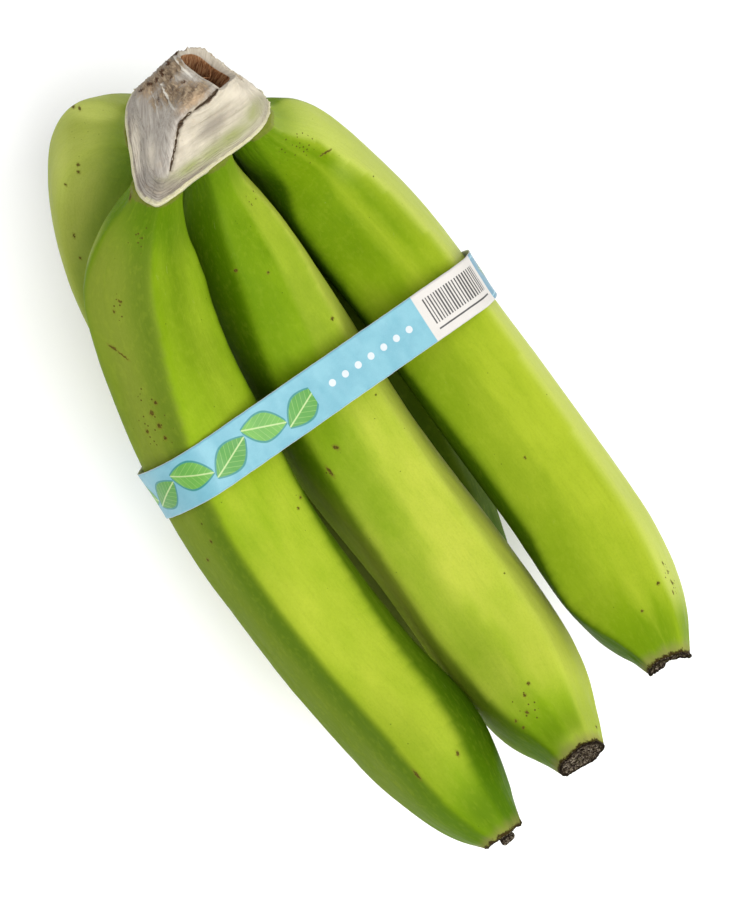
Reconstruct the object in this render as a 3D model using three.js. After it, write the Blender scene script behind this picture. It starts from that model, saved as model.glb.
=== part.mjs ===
// A bunch of five green bananas held by a label band, lying on its back.
// Units are millimetres, +Z is up, the floor is z = 0 and +X runs from the
// crown to the tips. Each fruit is a tapered, curved, five-ridged tube swept
// along a spine; the crown is a cut, dried, hollow stump; the band is a thin
// strip drawn tight round the bunch with a glued lap underneath.
import * as THREE from 'three';

// ---------------------------------------------------------------- dimensions
const FRUIT_SIDES = 20;            // vertices round a fruit
const FRUIT_STATIONS = 28;         // rings along a fruit
const SPINE_SAMPLES = 160;         // fine samples of each spine
const SPINE_SMOOTHING = 40;        // smoothing passes on a spine
const RIDGE_FLATNESS = 0.62;       // 0 = round section, 1 = flat faces between ridges
const RIDGE_SMOOTHING = 10;        // rounding of the ridges
const CROWN_GAP = 0.35;            // neck ends sit this far under the crown
const NECK_TRIM_FADE = 16;         // length over which a neck end is trimmed to the crown
const TIP_LIP = 0.8;               // depth of the dimple in a dried blossom tip
const BAND_WIDTH = 15;
const BAND_THICKNESS = 0.45;
const LAP_START = 80, LAP_END = 86; // glued lap, in band loop steps
const LAP_EXTRA = 0.3;             // extra thickness of the lap
const CROWN_RIM_ROLL = 1.3;        // height of the rolled rim over the underside
const CROWN_RIM_TUCK = 0.035;      // how far the underside is tucked in, as a share
const HOLLOW_WALL = 0.24;          // lip of the hollow, as a share of its half width
const HOLLOW_DEPTH = 11;

// underside plane of the crown: a point and its outward (upward) normal
const CROWN_POINT = [-77.892, -19.85, 111.716];
const CROWN_NORMAL = [-0.50678, 0.2077, 0.83668];
// direction each fruit's ridge angles are measured from
const RIDGE_ZERO = [0.02894, -0.14667, 0.98876];

// spine points of the fruits: x, y, z, radius; neck first
const SPINES = {
  banana_front_left: [
    [-84.04, -16.29, 110.52, 7.06], [-82.7, -17.49, 105.2, 7.24], [-81.43, -19.39, 101.37, 7.96], [-79.51, -22.32, 97.22, 11.02],
    [-74.42, -26.59, 93.2, 13.83], [-67.39, -32.61, 88.14, 17.97], [-57.95, -34.67, 83.73, 18.4], [-41.46, -37.71, 76.39, 18.65],
    [-20.23, -38.9, 70.35, 19.87], [9.11, -40.05, 65.86, 19.87], [36.93, -38.04, 64.85, 19.82], [62.7, -35.13, 67.51, 19.81],
    [87.16, -30.56, 72.96, 19.49], [101.13, -30.59, 75.93, 15.7], [113.25, -28.84, 79.01, 10.09], [117.88, -27.69, 80.31, 6.89],
  ],
  banana_front_centre: [
    [-85.97, -0.59, 104.53, 7.41], [-83.87, -0.08, 96.73, 7.61], [-80.62, -0.19, 88.08, 8.66], [-73.66, -1.35, 80.5, 12.68],
    [-59.42, -1.38, 73.78, 16.74], [-43.42, -1.64, 67.15, 18.57], [-22.73, -1.73, 59.43, 19.86], [-2.37, -1.7, 55.99, 20.21],
    [17.39, -0.76, 55.17, 20.22], [37.65, 1.43, 56.09, 19.91], [54.75, 2.08, 57.76, 19.87], [67.53, 3.38, 58.76, 19.17],
    [83.79, 3.7, 62.37, 18.64], [95.22, 1.89, 67.49, 16.74], [105.13, 3.7, 74.31, 11.12], [111.8, 2.11, 81.03, 7.64],
  ],
  banana_front_right: [
    [-88.22, 14.52, 99.48, 7.19], [-86.29, 16.19, 92.45, 7.53], [-83.47, 20.01, 82.62, 11.92], [-79.4, 26.63, 73.14, 14.26],
    [-71.53, 28.14, 64.13, 17.23], [-53.89, 33.22, 57.75, 18.96], [-35.37, 36.37, 57.23, 19.46], [-8.29, 37.88, 57.9, 19.72],
    [21.17, 39.88, 59.66, 19.52], [52.08, 41.31, 62.55, 19.49], [68.85, 40.9, 66.15, 19.49], [84.66, 39.75, 70.5, 16.78],
    [95.08, 40.17, 76.21, 11.48], [102.54, 38.26, 78.62, 6.9],
  ],
  banana_back_left: [
    [-97.02, -10.3, 100.33, 7.16], [-100.39, -9.25, 87.65, 7.54], [-105.29, -10.36, 76.51, 11.38], [-107.27, -13.35, 68.03, 15.37],
    [-108.35, -21.11, 60.84, 17.44], [-99.42, -21.37, 54.47, 18.85], [-92.67, -25.47, 46.59, 19.38], [-82.89, -27.58, 37.9, 19.5],
    [-64.93, -29.66, 28.97, 19.42], [-36.35, -27.72, 21.34, 19.42], [-7.23, -24.46, 17.94, 19.48], [24.65, -23.09, 17.21, 19.33],
    [50.5, -22.6, 19.56, 18.52], [67.89, -23.18, 24.02, 16.64], [80.68, -23.61, 29.65, 11.22], [87.42, -24.05, 34.45, 7.34],
  ],
  banana_back_right: [
    [-100.52, 7.22, 94, 6.68], [-99.75, 9.8, 77.59, 7.37], [-96.66, 11.62, 62.24, 10.09], [-90.84, 12.83, 47.4, 13.77],
    [-80.65, 13.73, 34.46, 16.93], [-64.58, 14.14, 27.47, 18.54], [-41.64, 15.49, 22.62, 19.22], [-8.52, 16.47, 19.25, 19.28],
    [18.65, 16.15, 19.26, 18.81], [35.1, 15.64, 20.12, 16.83], [44.91, 15.23, 21.8, 14.09], [53.43, 14.39, 24.46, 11.96],
    [60.78, 13.36, 28.13, 7.74],
  ],
};

// ridge angles in degrees along each fruit: at = share of the length
const RIDGES = {
  banana_front_left: {
    at: [0, 0.2, 0.3, 0.4, 0.5, 0.6, 0.75, 0.9, 1],
    angles: [
      [5, 3, -6, -16, -19, -20, -19, -21, -26],
      [80, 78, 72, 64, 58, 52, 38, 26, 18],
      [150, 148, 142, 134, 131, 126, 124, 121, 118],
      [222, 220, 212, 204, 201, 196, 194, 191, 188],
      [-70, -72, -80, -90, -92, -96, -98, -101, -104],
    ],
  },
  banana_front_centre: {
    at: [0, 0.12, 0.2, 0.28, 0.35, 0.5, 0.6, 0.75, 0.9, 1],
    angles: [
      [-8, -12, -17, -26, -31, -32, -37, -44, -40, -40],
      [62, 60, 55, 48, 46, 46, 44, 40, 40, 40],
      [132, 130, 125, 118, 114, 114, 110, 106, 106, 106],
      [206, 204, 198, 190, 186, 186, 182, 178, 178, 178],
      [-82, -84, -90, -98, -101, -102, -106, -112, -112, -112],
    ],
  },
  banana_front_right: {
    at: [0, 0.1, 0.2, 0.29, 0.37, 0.52, 0.65, 0.77, 0.88, 1],
    angles: [
      [-20, -34, -47, -54, -57, -51, -49, -48, -62, -45],
      [28, 31, 37, 41, 43, 46, 43, 42, 42, 42],
      [100, 102, 106, 108, 110, 112, 112, 112, 112, 112],
      [172, 172, 172, 172, 172, 172, 172, 172, 172, 172],
      [-92, -104, -114, -119, -121, -119, -118, -117, -126, -114],
    ],
  },
  banana_back_left: {
    at: [0, 1],
    angles: [
      [-60, -60],
      [12, 12],
      [84, 84],
      [156, 156],
      [228, 228],
    ],
  },
  banana_back_right: {
    at: [0, 0.49, 0.61, 0.74, 1],
    angles: [
      [20, 24, 29, 36, 36],
      [92, 96, 101, 108, 108],
      [164, 168, 173, 180, 180],
      [236, 240, 245, 252, 252],
      [-52, -48, -43, -36, -36],
    ],
  },
};

// crown rings from the rim up to the mouth of the hollow
const CROWN_RINGS = [
  [
    [-77.66, -20.08, 113.47], [-79.36, -22.18, 112.96], [-82.88, -23.09, 111.05], [-87.42, -22.07, 108.05],
    [-93.68, -18.96, 103.49], [-99.95, -15.7, 98.88], [-105.6, -12.52, 94.67], [-109.29, -9.79, 91.76],
    [-111.58, -6.64, 89.59], [-112.59, -2.67, 87.99], [-112.6, 1.67, 86.9], [-111.91, 5.88, 86.28],
    [-110.38, 9.56, 86.29], [-108.29, 12.86, 86.74], [-105.65, 15.78, 87.61], [-102.46, 18.33, 88.91],
    [-98.73, 20.49, 90.63], [-94.32, 22.51, 92.8], [-90.67, 23.34, 94.81], [-86.78, 22.14, 97.47],
    [-83.19, 17.46, 100.8], [-81.45, 10.26, 103.64], [-80.28, -0.44, 107], [-78.39, -12.48, 111.14],
  ],
  [
    [-80.33, -17.78, 117.56], [-81.91, -19.45, 116.94], [-85.13, -19.78, 114.87], [-89.2, -18.5, 111.73],
    [-94.79, -15.5, 107.54], [-100.67, -13.15, 103.58], [-105.88, -10.71, 100.33], [-109.35, -8.13, 97.83],
    [-111.08, -5.2, 95.87], [-111.73, -1.66, 94.38], [-111.96, 2.41, 92.56], [-111.65, 6.27, 91.12],
    [-110.3, 9.66, 90.66], [-108.42, 12.69, 90.99], [-105.85, 15.26, 91.66], [-102.91, 17.53, 93.06],
    [-99.43, 19.37, 95.17], [-95.14, 21.28, 97.76], [-91.5, 22.22, 99.92], [-87.61, 21.21, 102.68],
    [-84.37, 16.79, 105.89], [-82.68, 9.82, 108.7], [-81.84, -0.35, 111.78], [-80.6, -11.59, 115.46],
  ],
  [
    [-83.39, -13.57, 121.21], [-84.91, -14.88, 120.59], [-87.79, -14.93, 118.64], [-91.32, -13.77, 115.74],
    [-96.12, -11.31, 112.18], [-101.37, -9.76, 108.96], [-105.98, -8.04, 106.61], [-109.13, -5.86, 104.57],
    [-110.49, -3.38, 102.83], [-110.93, -0.41, 101.46], [-111.27, 3.16, 99.33], [-111.19, 6.57, 97.5],
    [-110.05, 9.56, 96.75], [-108.42, 12.26, 96.94], [-106.07, 14.51, 97.39], [-103.44, 16.48, 98.62],
    [-100.28, 18.02, 100.61], [-96.24, 19.74, 103.1], [-92.69, 20.71, 105.15], [-89.06, 19.94, 107.74],
    [-86.28, 16.06, 110.72], [-84.76, 9.85, 113.45], [-84.11, 0.95, 116.28], [-83.29, -8.75, 119.49],
  ],
  [
    [-92.27, -5.91, 127.7], [-93.63, -6.45, 127.07], [-95.03, -6.51, 125.12], [-96.66, -5.52, 122.85],
    [-99.1, -3.97, 120.64], [-102.9, -3.38, 118.71], [-106.17, -2.55, 117.69], [-108.45, -1.46, 116.42],
    [-109.44, 0.05, 114.88], [-110.1, 1.87, 113.55], [-110.48, 4.33, 111.73], [-110.19, 6.96, 109.68],
    [-109.18, 9.01, 108.92], [-108, 11.11, 108.87], [-106.44, 12.96, 108.94], [-104.14, 14.3, 109.49],
    [-101.58, 15.4, 110.56], [-98.09, 16.76, 112.15], [-94.83, 17.72, 113.61], [-92.11, 17.53, 115.48],
    [-90.07, 15.06, 118.3], [-89.2, 10.74, 121.26], [-88.84, 4.45, 124.08], [-89.64, -2.27, 126.88],
  ],
  [
    [-94.22, 7.22, 130.37], [-95.83, 6.66, 130.33], [-97.52, 6.17, 129.8], [-99.12, 5.33, 129.22],
    [-101.1, 4.39, 128.63], [-103.39, 3.96, 128.13], [-105.46, 3.67, 128.15], [-107.24, 3.55, 127.68],
    [-108.37, 3.68, 126.72], [-108.85, 4.35, 125.82], [-109.02, 5.48, 124.47], [-108.9, 7.06, 123.19],
    [-108.51, 8.45, 122.37], [-107.8, 9.94, 122.07], [-106.8, 11.24, 121.73], [-105.34, 12.27, 121.33],
    [-103.42, 13.01, 120.88], [-100.67, 13.84, 120.92], [-97.84, 14.58, 121.45], [-95.98, 14.61, 122.41],
    [-95.13, 13.62, 124.27], [-94.64, 11.87, 126.52], [-93.92, 9.99, 128.75], [-93.43, 7.98, 130.46],
  ],
];

// band: a point on its centre plane, its axis, its two in-plane directions
const BAND_POINT = [-11.608, -46.178, 85.643];
const BAND_AXIS = [0.98738, 0.03869, -0.15354];
const BAND_U = [-0.01587, 0.98898, 0.14717];
const BAND_V = [0.15754, -0.14288, 0.97712];
// inner face of the band in its centre plane
const BAND_LOOP = [
  [94.73, -51.94], [96.51, -48.91], [97.57, -45.57], [97.89, -42.07], [97.63, -38.57], [97.07, -35.1], [96.24, -31.68], [95.04, -28.38],
  [92.96, -25.58], [89.9, -23.89], [86.56, -22.81], [83.19, -21.79], [79.83, -20.76], [76.47, -19.74], [73.11, -18.71], [69.74, -17.69],
  [66.38, -16.66], [63.02, -15.64], [59.65, -14.61], [56.29, -13.59], [52.93, -12.56], [49.56, -11.54], [46.2, -10.51], [42.84, -9.49],
  [39.48, -8.46], [36.11, -7.44], [32.75, -6.41], [29.39, -5.39], [26.02, -4.36], [22.66, -3.34], [19.3, -2.31], [15.93, -1.29],
  [12.57, -0.26], [9.21, 0.76], [5.83, 1.72], [2.35, 2.18], [-1.13, 1.72], [-4.34, 0.32], [-7.03, -1.93], [-9.37, -4.55],
  [-11.49, -7.35], [-13.39, -10.31], [-15, -13.43], [-15.97, -16.8], [-15.92, -20.31], [-15.43, -23.79], [-14.91, -27.27], [-14.38, -30.74],
  [-13.85, -34.22], [-13.33, -37.69], [-12.8, -41.17], [-12.28, -44.65], [-11.75, -48.12], [-11.23, -51.6], [-10.7, -55.08], [-10.18, -58.55],
  [-9.65, -62.03], [-9.12, -65.5], [-8.6, -68.98], [-8.06, -72.46], [-7.42, -75.91], [-6.42, -79.28], [-4.55, -82.23], [-1.71, -84.27],
  [1.55, -85.58], [4.93, -86.55], [8.38, -87.25], [11.85, -87.8], [15.32, -88.32], [18.8, -88.85], [22.28, -89.37], [25.75, -89.89],
  [29.23, -90.42], [32.71, -90.94], [36.18, -91.46], [39.66, -91.99], [43.14, -92.51], [46.61, -93.04], [50.09, -93.55], [53.59, -93.9],
  [57.03, -93.3], [60.09, -91.59], [62.82, -89.38], [65.35, -86.94], [67.7, -84.33], [69.96, -81.64], [72.22, -78.94], [74.48, -76.25],
  [76.73, -73.55], [78.99, -70.86], [81.25, -68.16], [83.51, -65.46], [85.76, -62.77], [88.02, -60.07], [90.28, -57.38], [92.54, -54.68],
];

// ------------------------------------------------------------ small vectors
const add = (a, b, s = 1) => [a[0] + b[0] * s, a[1] + b[1] * s, a[2] + b[2] * s];
const sub = (a, b) => add(a, b, -1);
const dot = (a, b) => a[0] * b[0] + a[1] * b[1] + a[2] * b[2];
const cross = (a, b) => [
  a[1] * b[2] - a[2] * b[1],
  a[2] * b[0] - a[0] * b[2],
  a[0] * b[1] - a[1] * b[0],
];
const length = (a) => Math.sqrt(dot(a, a));
const unit = (a) => a.map((x) => x / length(a));
const centroid = (pts) =>
  pts.reduce((s, p) => add(s, p), [0, 0, 0]).map((x) => x / pts.length);

// value of a table column at x, linear between entries
function lookup(x, xs, ys) {
  if (x <= xs[0]) return ys[0];
  for (let i = 1; i < xs.length; i++) {
    if (x <= xs[i]) {
      const f = (x - xs[i - 1]) / (xs[i] - xs[i - 1]);
      return ys[i - 1] * (1 - f) + ys[i] * f;
    }
  }
  return ys[ys.length - 1];
}

// running length along rows of points
function arcLengths(rows) {
  const s = [0];
  for (let i = 1; i < rows.length; i++) {
    s.push(s[i - 1] + length(sub(rows[i], rows[i - 1])));
  }
  return s;
}

// smooth curve through rows [x, y, z, r], sampled evenly by chord length
function curveThrough(rows, count) {
  const s = arcLengths(rows);
  const last = rows.length - 1;
  const slope = rows.map((row, i) => {
    const diff = (a, b) => rows[b].map((x, k) => (x - rows[a][k]) / (s[b] - s[a]));
    if (i === 0) return diff(0, 1);
    if (i === last) return diff(last - 1, last);
    const before = diff(i - 1, i);
    const after = diff(i, i + 1);
    const h0 = s[i] - s[i - 1];
    const h1 = s[i + 1] - s[i];
    return row.map((_, k) => (before[k] * h1 + after[k] * h0) / (h0 + h1));
  });
  const out = [];
  for (let n = 0; n < count; n++) {
    const x = (s[last] * n) / (count - 1);
    let i = 0;
    while (i < last - 1 && s[i + 1] <= x) i++;
    const h = s[i + 1] - s[i];
    const u = (x - s[i]) / h;
    const a = 2 * u ** 3 - 3 * u ** 2 + 1;
    const b = u ** 3 - 2 * u ** 2 + u;
    const c = -2 * u ** 3 + 3 * u ** 2;
    const d = u ** 3 - u ** 2;
    out.push(rows[i].map((_, k) =>
      a * rows[i][k] + b * h * slope[i][k] + c * rows[i + 1][k] + d * h * slope[i + 1][k]));
  }
  return out;
}

// even out the steps of a curve
function respaced(rows) {
  const s = arcLengths(rows);
  const total = s[s.length - 1];
  return rows.map((_, n) => {
    const x = (total * n) / (rows.length - 1);
    return rows[0].map((__, k) => lookup(x, s, rows.map((r) => r[k])));
  });
}

// average each inner row with its neighbours, columns from..to
function smoothed(rows, passes, from, to) {
  let now = rows.map((r) => r.slice());
  for (let p = 0; p < passes; p++) {
    const next = now.map((r) => r.slice());
    for (let i = 1; i < now.length - 1; i++) {
      for (let k = from; k < to; k++) {
        next[i][k] = 0.5 * now[i][k] + 0.25 * (now[i - 1][k] + now[i + 1][k]);
      }
    }
    now = next;
  }
  return now;
}

// spine of a fruit: evenly spaced samples with their radius
function spine(rows) {
  let c = curveThrough(rows, SPINE_SAMPLES);
  for (let i = 0; i < 2; i++) {
    c = respaced(c);
    c = smoothed(c, SPINE_SMOOTHING, 0, 3);
    c = smoothed(c, SPINE_SMOOTHING / 4, 3, 4);
  }
  return c;
}

// untwisted axes along a spine
function axesAlong(c) {
  const n = c.length;
  const along = c.map((_, i) =>
    unit(sub(c[Math.min(i + 1, n - 1)], c[Math.max(i - 1, 0)])));
  const up = new Array(n);
  const carry = (v, t) => unit(add(v, t, -dot(v, t)));
  const mid = Math.floor(n / 2);
  up[mid] = carry(RIDGE_ZERO, along[mid]);
  for (let i = mid + 1; i < n; i++) up[i] = carry(up[i - 1], along[i]);
  for (let i = mid - 1; i >= 0; i--) up[i] = carry(up[i + 1], along[i]);
  const side = c.map((_, i) => cross(up[i], along[i]));
  return { along, side, up };
}

// share of the full radius round a five-ridged section, every 3 degrees
function section(angles, flatness) {
  const ridge = angles.map((x) => ((x % 360) + 360) % 360).sort((a, b) => a - b);
  const N = 120;
  let r = [];
  for (let i = 0; i < N; i++) {
    const th = (i * 360) / N;
    let k = ridge.length - 1;
    while (k >= 0 && ridge[k] > th) k--;
    const a0 = k < 0 ? ridge[ridge.length - 1] - 360 : ridge[k];
    const a1 = k < 0 ? ridge[0] : k === ridge.length - 1 ? ridge[0] + 360 : ridge[k + 1];
    const half = ((a1 - a0) / 2) * (Math.PI / 180);
    const x = (th - (a0 + a1) / 2) * (Math.PI / 180);
    r.push(1 - flatness * (1 - Math.cos(half) / Math.cos(x)));
  }
  for (let p = 0; p < RIDGE_SMOOTHING; p++) {
    r = r.map((v, i) => 0.5 * v + 0.25 * (r[(i + N - 1) % N] + r[(i + 1) % N]));
  }
  return r;
}

// ------------------------------------------------------------ closed meshes
// skin over rings of equal size; both ends closed to a centre point
function skin(rings, startCentre, endCentre) {
  const n = rings[0].length;
  const points = rings.flat().concat([startCentre, endCentre]);
  const faces = [];
  for (let k = 0; k < rings.length - 1; k++) {
    for (let j = 0; j < n; j++) {
      const q = (j + 1) % n;
      const a = k * n + j, b = (k + 1) * n + j, c = (k + 1) * n + q, d = k * n + q;
      faces.push([a, b, c], [a, c, d]);
    }
  }
  const first = rings.length * n;
  for (let j = 0; j < n; j++) {
    const q = (j + 1) % n;
    faces.push([first, j, q]);
    faces.push([first + 1, (rings.length - 1) * n + q, (rings.length - 1) * n + j]);
  }
  return { points, faces };
}

// strip of quads closed both ways, like a belt
function belt(rings) {
  const n = rings[0].length;
  const m = rings.length;
  const faces = [];
  for (let k = 0; k < m; k++) {
    for (let j = 0; j < n; j++) {
      const q = (j + 1) % n;
      const r = (k + 1) % m;
      faces.push([k * n + j, r * n + j, r * n + q], [k * n + j, r * n + q, k * n + q]);
    }
  }
  return { points: rings.flat(), faces };
}

// turn a mesh outward if its volume comes out negative
function outward({ points, faces }) {
  let v = 0;
  for (const [a, b, c] of faces) v += dot(points[a], cross(points[b], points[c]));
  return { points, faces: v < 0 ? faces.map(([a, b, c]) => [a, c, b]) : faces };
}

function body(name, shell, material) {
  const { points, faces } = outward(shell);
  const g = new THREE.BufferGeometry();
  g.setAttribute('position', new THREE.Float32BufferAttribute(points.flat(), 3));
  g.setIndex(faces.flat());
  g.computeVertexNormals();
  const mesh = new THREE.Mesh(g, material);
  mesh.name = name;
  return mesh;
}

// ------------------------------------------------------------------- fruits
function fruit(name) {
  const c = spine(SPINES[name]);
  const { along, side, up } = axesAlong(c);
  const s = arcLengths(c);
  const total = s[s.length - 1];
  // the neck starts just under the crown
  let start = 0;
  for (let i = 0; i < c.length - 1; i++) {
    const a = dot(sub(c[i], CROWN_POINT), CROWN_NORMAL) + CROWN_GAP;
    const b = dot(sub(c[i + 1], CROWN_POINT), CROWN_NORMAL) + CROWN_GAP;
    if (a > 0 && b <= 0) {
      start = s[i] + (s[i + 1] - s[i]) * (a / (a - b));
      break;
    }
  }
  const rings = [];
  for (let n = 0; n < FRUIT_STATIONS; n++) {
    const x = n / (FRUIT_STATIONS - 1);
    const at = start + (total - start) * (x - 0.075 * Math.sin(2 * Math.PI * x));
    const k = lookup(at, s, s.map((_, i) => i));
    const i = Math.min(Math.floor(k), c.length - 2);
    const f = k - i;
    const mix = (v) => v[i].map((y, q) => y * (1 - f) + v[i + 1][q] * f);
    const [px, py, pz, r] = mix(c);
    const A = mix(side), B = mix(up), T = mix(along);
    const share = k / (c.length - 1);
    const angles = RIDGES[name].angles.map((row) => lookup(share, RIDGES[name].at, row));
    const flat = RIDGE_FLATNESS * lookup(share, [0, 0.08, 0.2, 0.9, 1], [0.5, 0.7, 1, 1, 0.6]);
    const shape = section(angles, flat);
    let w = Math.max(0, 1 - (at - start) / NECK_TRIM_FADE);
    w = w * w * (3 - 2 * w);
    const ring = [];
    for (let j = 0; j < FRUIT_SIDES; j++) {
      const th = (j * 2 * Math.PI) / FRUIT_SIDES;
      const q = r * shape[(j * shape.length) / FRUIT_SIDES];
      let p = add(add([0, 0, 0], A, q * Math.sin(th)), B, q * Math.cos(th));
      // slide the neck end onto a plane parallel to the crown's underside
      p = add(p, T, (-w * dot(p, CROWN_NORMAL)) / dot(T, CROWN_NORMAL));
      ring.push(add([px, py, pz], p));
    }
    rings.push(ring);
  }
  const end = along[along.length - 1];
  const tip = add(centroid(rings[rings.length - 1]), end, -TIP_LIP);
  return skin(rings, centroid(rings[0]), tip);
}

// -------------------------------------------------------------------- crown
function crown() {
  const rim = CROWN_RINGS[0];
  const mouth = CROWN_RINGS[CROWN_RINGS.length - 1];
  const low = centroid(rim);
  const high = centroid(mouth);
  const toward = (p, c, s) => add(p, sub(c, p), s);
  const underside = rim.map((p) => {
    const q = toward(add(p, CROWN_NORMAL, -CROWN_RIM_ROLL), low, CROWN_RIM_TUCK);
    return add(q, CROWN_NORMAL, -dot(sub(q, CROWN_POINT), CROWN_NORMAL));
  });
  const lip = rim.map((p, i) =>
    add(toward(p, CROWN_RINGS[1][i], 0.35), sub(p, low), 0.004));
  const down = unit(sub(low, high));
  const inner = mouth.map((p) => toward(p, high, HOLLOW_WALL));
  const throat = mouth.map((p) => add(toward(p, high, HOLLOW_WALL + 0.06), down, 2));
  const floor = mouth.map((p) => add(toward(p, high, 0.45), down, HOLLOW_DEPTH));
  const rings = [underside, rim, lip, ...CROWN_RINGS.slice(1), inner, throat, floor];
  return skin(rings, centroid(underside), centroid(floor));
}

// --------------------------------------------------------------------- band
function band() {
  const n = BAND_LOOP.length;
  const mid = BAND_LOOP.reduce((a, p) => [a[0] + p[0] / n, a[1] + p[1] / n], [0, 0]);
  const place = (x, y, h) =>
    add(add(add(BAND_POINT, BAND_U, x), BAND_V, y), BAND_AXIS, h);
  const inner = [[], []];
  const outer = [[], []];
  BAND_LOOP.forEach(([x, y], i) => {
    const a = BAND_LOOP[(i + n - 1) % n];
    const b = BAND_LOOP[(i + 1) % n];
    let nx = b[1] - a[1];
    let ny = a[0] - b[0];
    const l = Math.hypot(nx, ny) * ((x - mid[0]) * nx + (y - mid[1]) * ny < 0 ? -1 : 1);
    nx /= l;
    ny /= l;
    const t = BAND_THICKNESS + (i >= LAP_START && i <= LAP_END ? LAP_EXTRA : 0);
    [-BAND_WIDTH / 2, BAND_WIDTH / 2].forEach((h, side) => {
      inner[side].push(place(x, y, h));
      outer[side].push(place(x + nx * t, y + ny * t, h));
    });
  });
  return belt([inner[0], outer[0], outer[1], inner[1]]);
}

// ----------------------------------------------------------------- assembly
const peel = (colour) =>
  new THREE.MeshStandardMaterial({ color: colour, roughness: 0.5, metalness: 0 });

const bunch = new THREE.Group();
bunch.name = 'bunch_of_bananas';
bunch.add(body('banana_front_left', fruit('banana_front_left'), peel(0x93b82c)));
bunch.add(body('banana_front_centre', fruit('banana_front_centre'), peel(0x9cc22f)));
bunch.add(body('banana_front_right', fruit('banana_front_right'), peel(0xa0c436)));
bunch.add(body('banana_back_left', fruit('banana_back_left'), peel(0x86ac2c)));
bunch.add(body('banana_back_right', fruit('banana_back_right'), peel(0x7fa62b)));
bunch.add(body('crown', crown(),
  new THREE.MeshStandardMaterial({ color: 0xb9b1a4, roughness: 0.85, metalness: 0 })));
bunch.add(body('label_band', band(),
  new THREE.MeshStandardMaterial({ color: 0x7cc4dc, roughness: 0.4, metalness: 0 })));

export default bunch;
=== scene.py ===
"""A bunch of five green bananas with a dried crown and a label band.

The sizes below are in millimetres in the row frame and repeat the CAD model's
own tables; the looks are built round them at a finer step.
"""
import math

import bpy
import numpy as np
from mathutils import Matrix, Vector
from mathutils.bvhtree import BVHTree


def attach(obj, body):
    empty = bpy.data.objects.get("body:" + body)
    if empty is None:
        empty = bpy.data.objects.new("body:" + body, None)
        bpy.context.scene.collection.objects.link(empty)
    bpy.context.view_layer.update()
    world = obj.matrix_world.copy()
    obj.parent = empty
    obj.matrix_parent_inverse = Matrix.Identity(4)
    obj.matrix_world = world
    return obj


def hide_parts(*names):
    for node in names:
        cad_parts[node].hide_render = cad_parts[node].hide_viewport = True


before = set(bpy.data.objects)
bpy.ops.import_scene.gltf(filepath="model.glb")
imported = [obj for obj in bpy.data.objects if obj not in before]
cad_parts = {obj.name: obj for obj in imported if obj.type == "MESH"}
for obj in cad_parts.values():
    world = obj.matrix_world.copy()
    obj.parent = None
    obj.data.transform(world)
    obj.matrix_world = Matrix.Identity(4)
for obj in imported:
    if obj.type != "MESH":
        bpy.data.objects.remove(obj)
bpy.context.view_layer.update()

MM = 0.001

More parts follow.
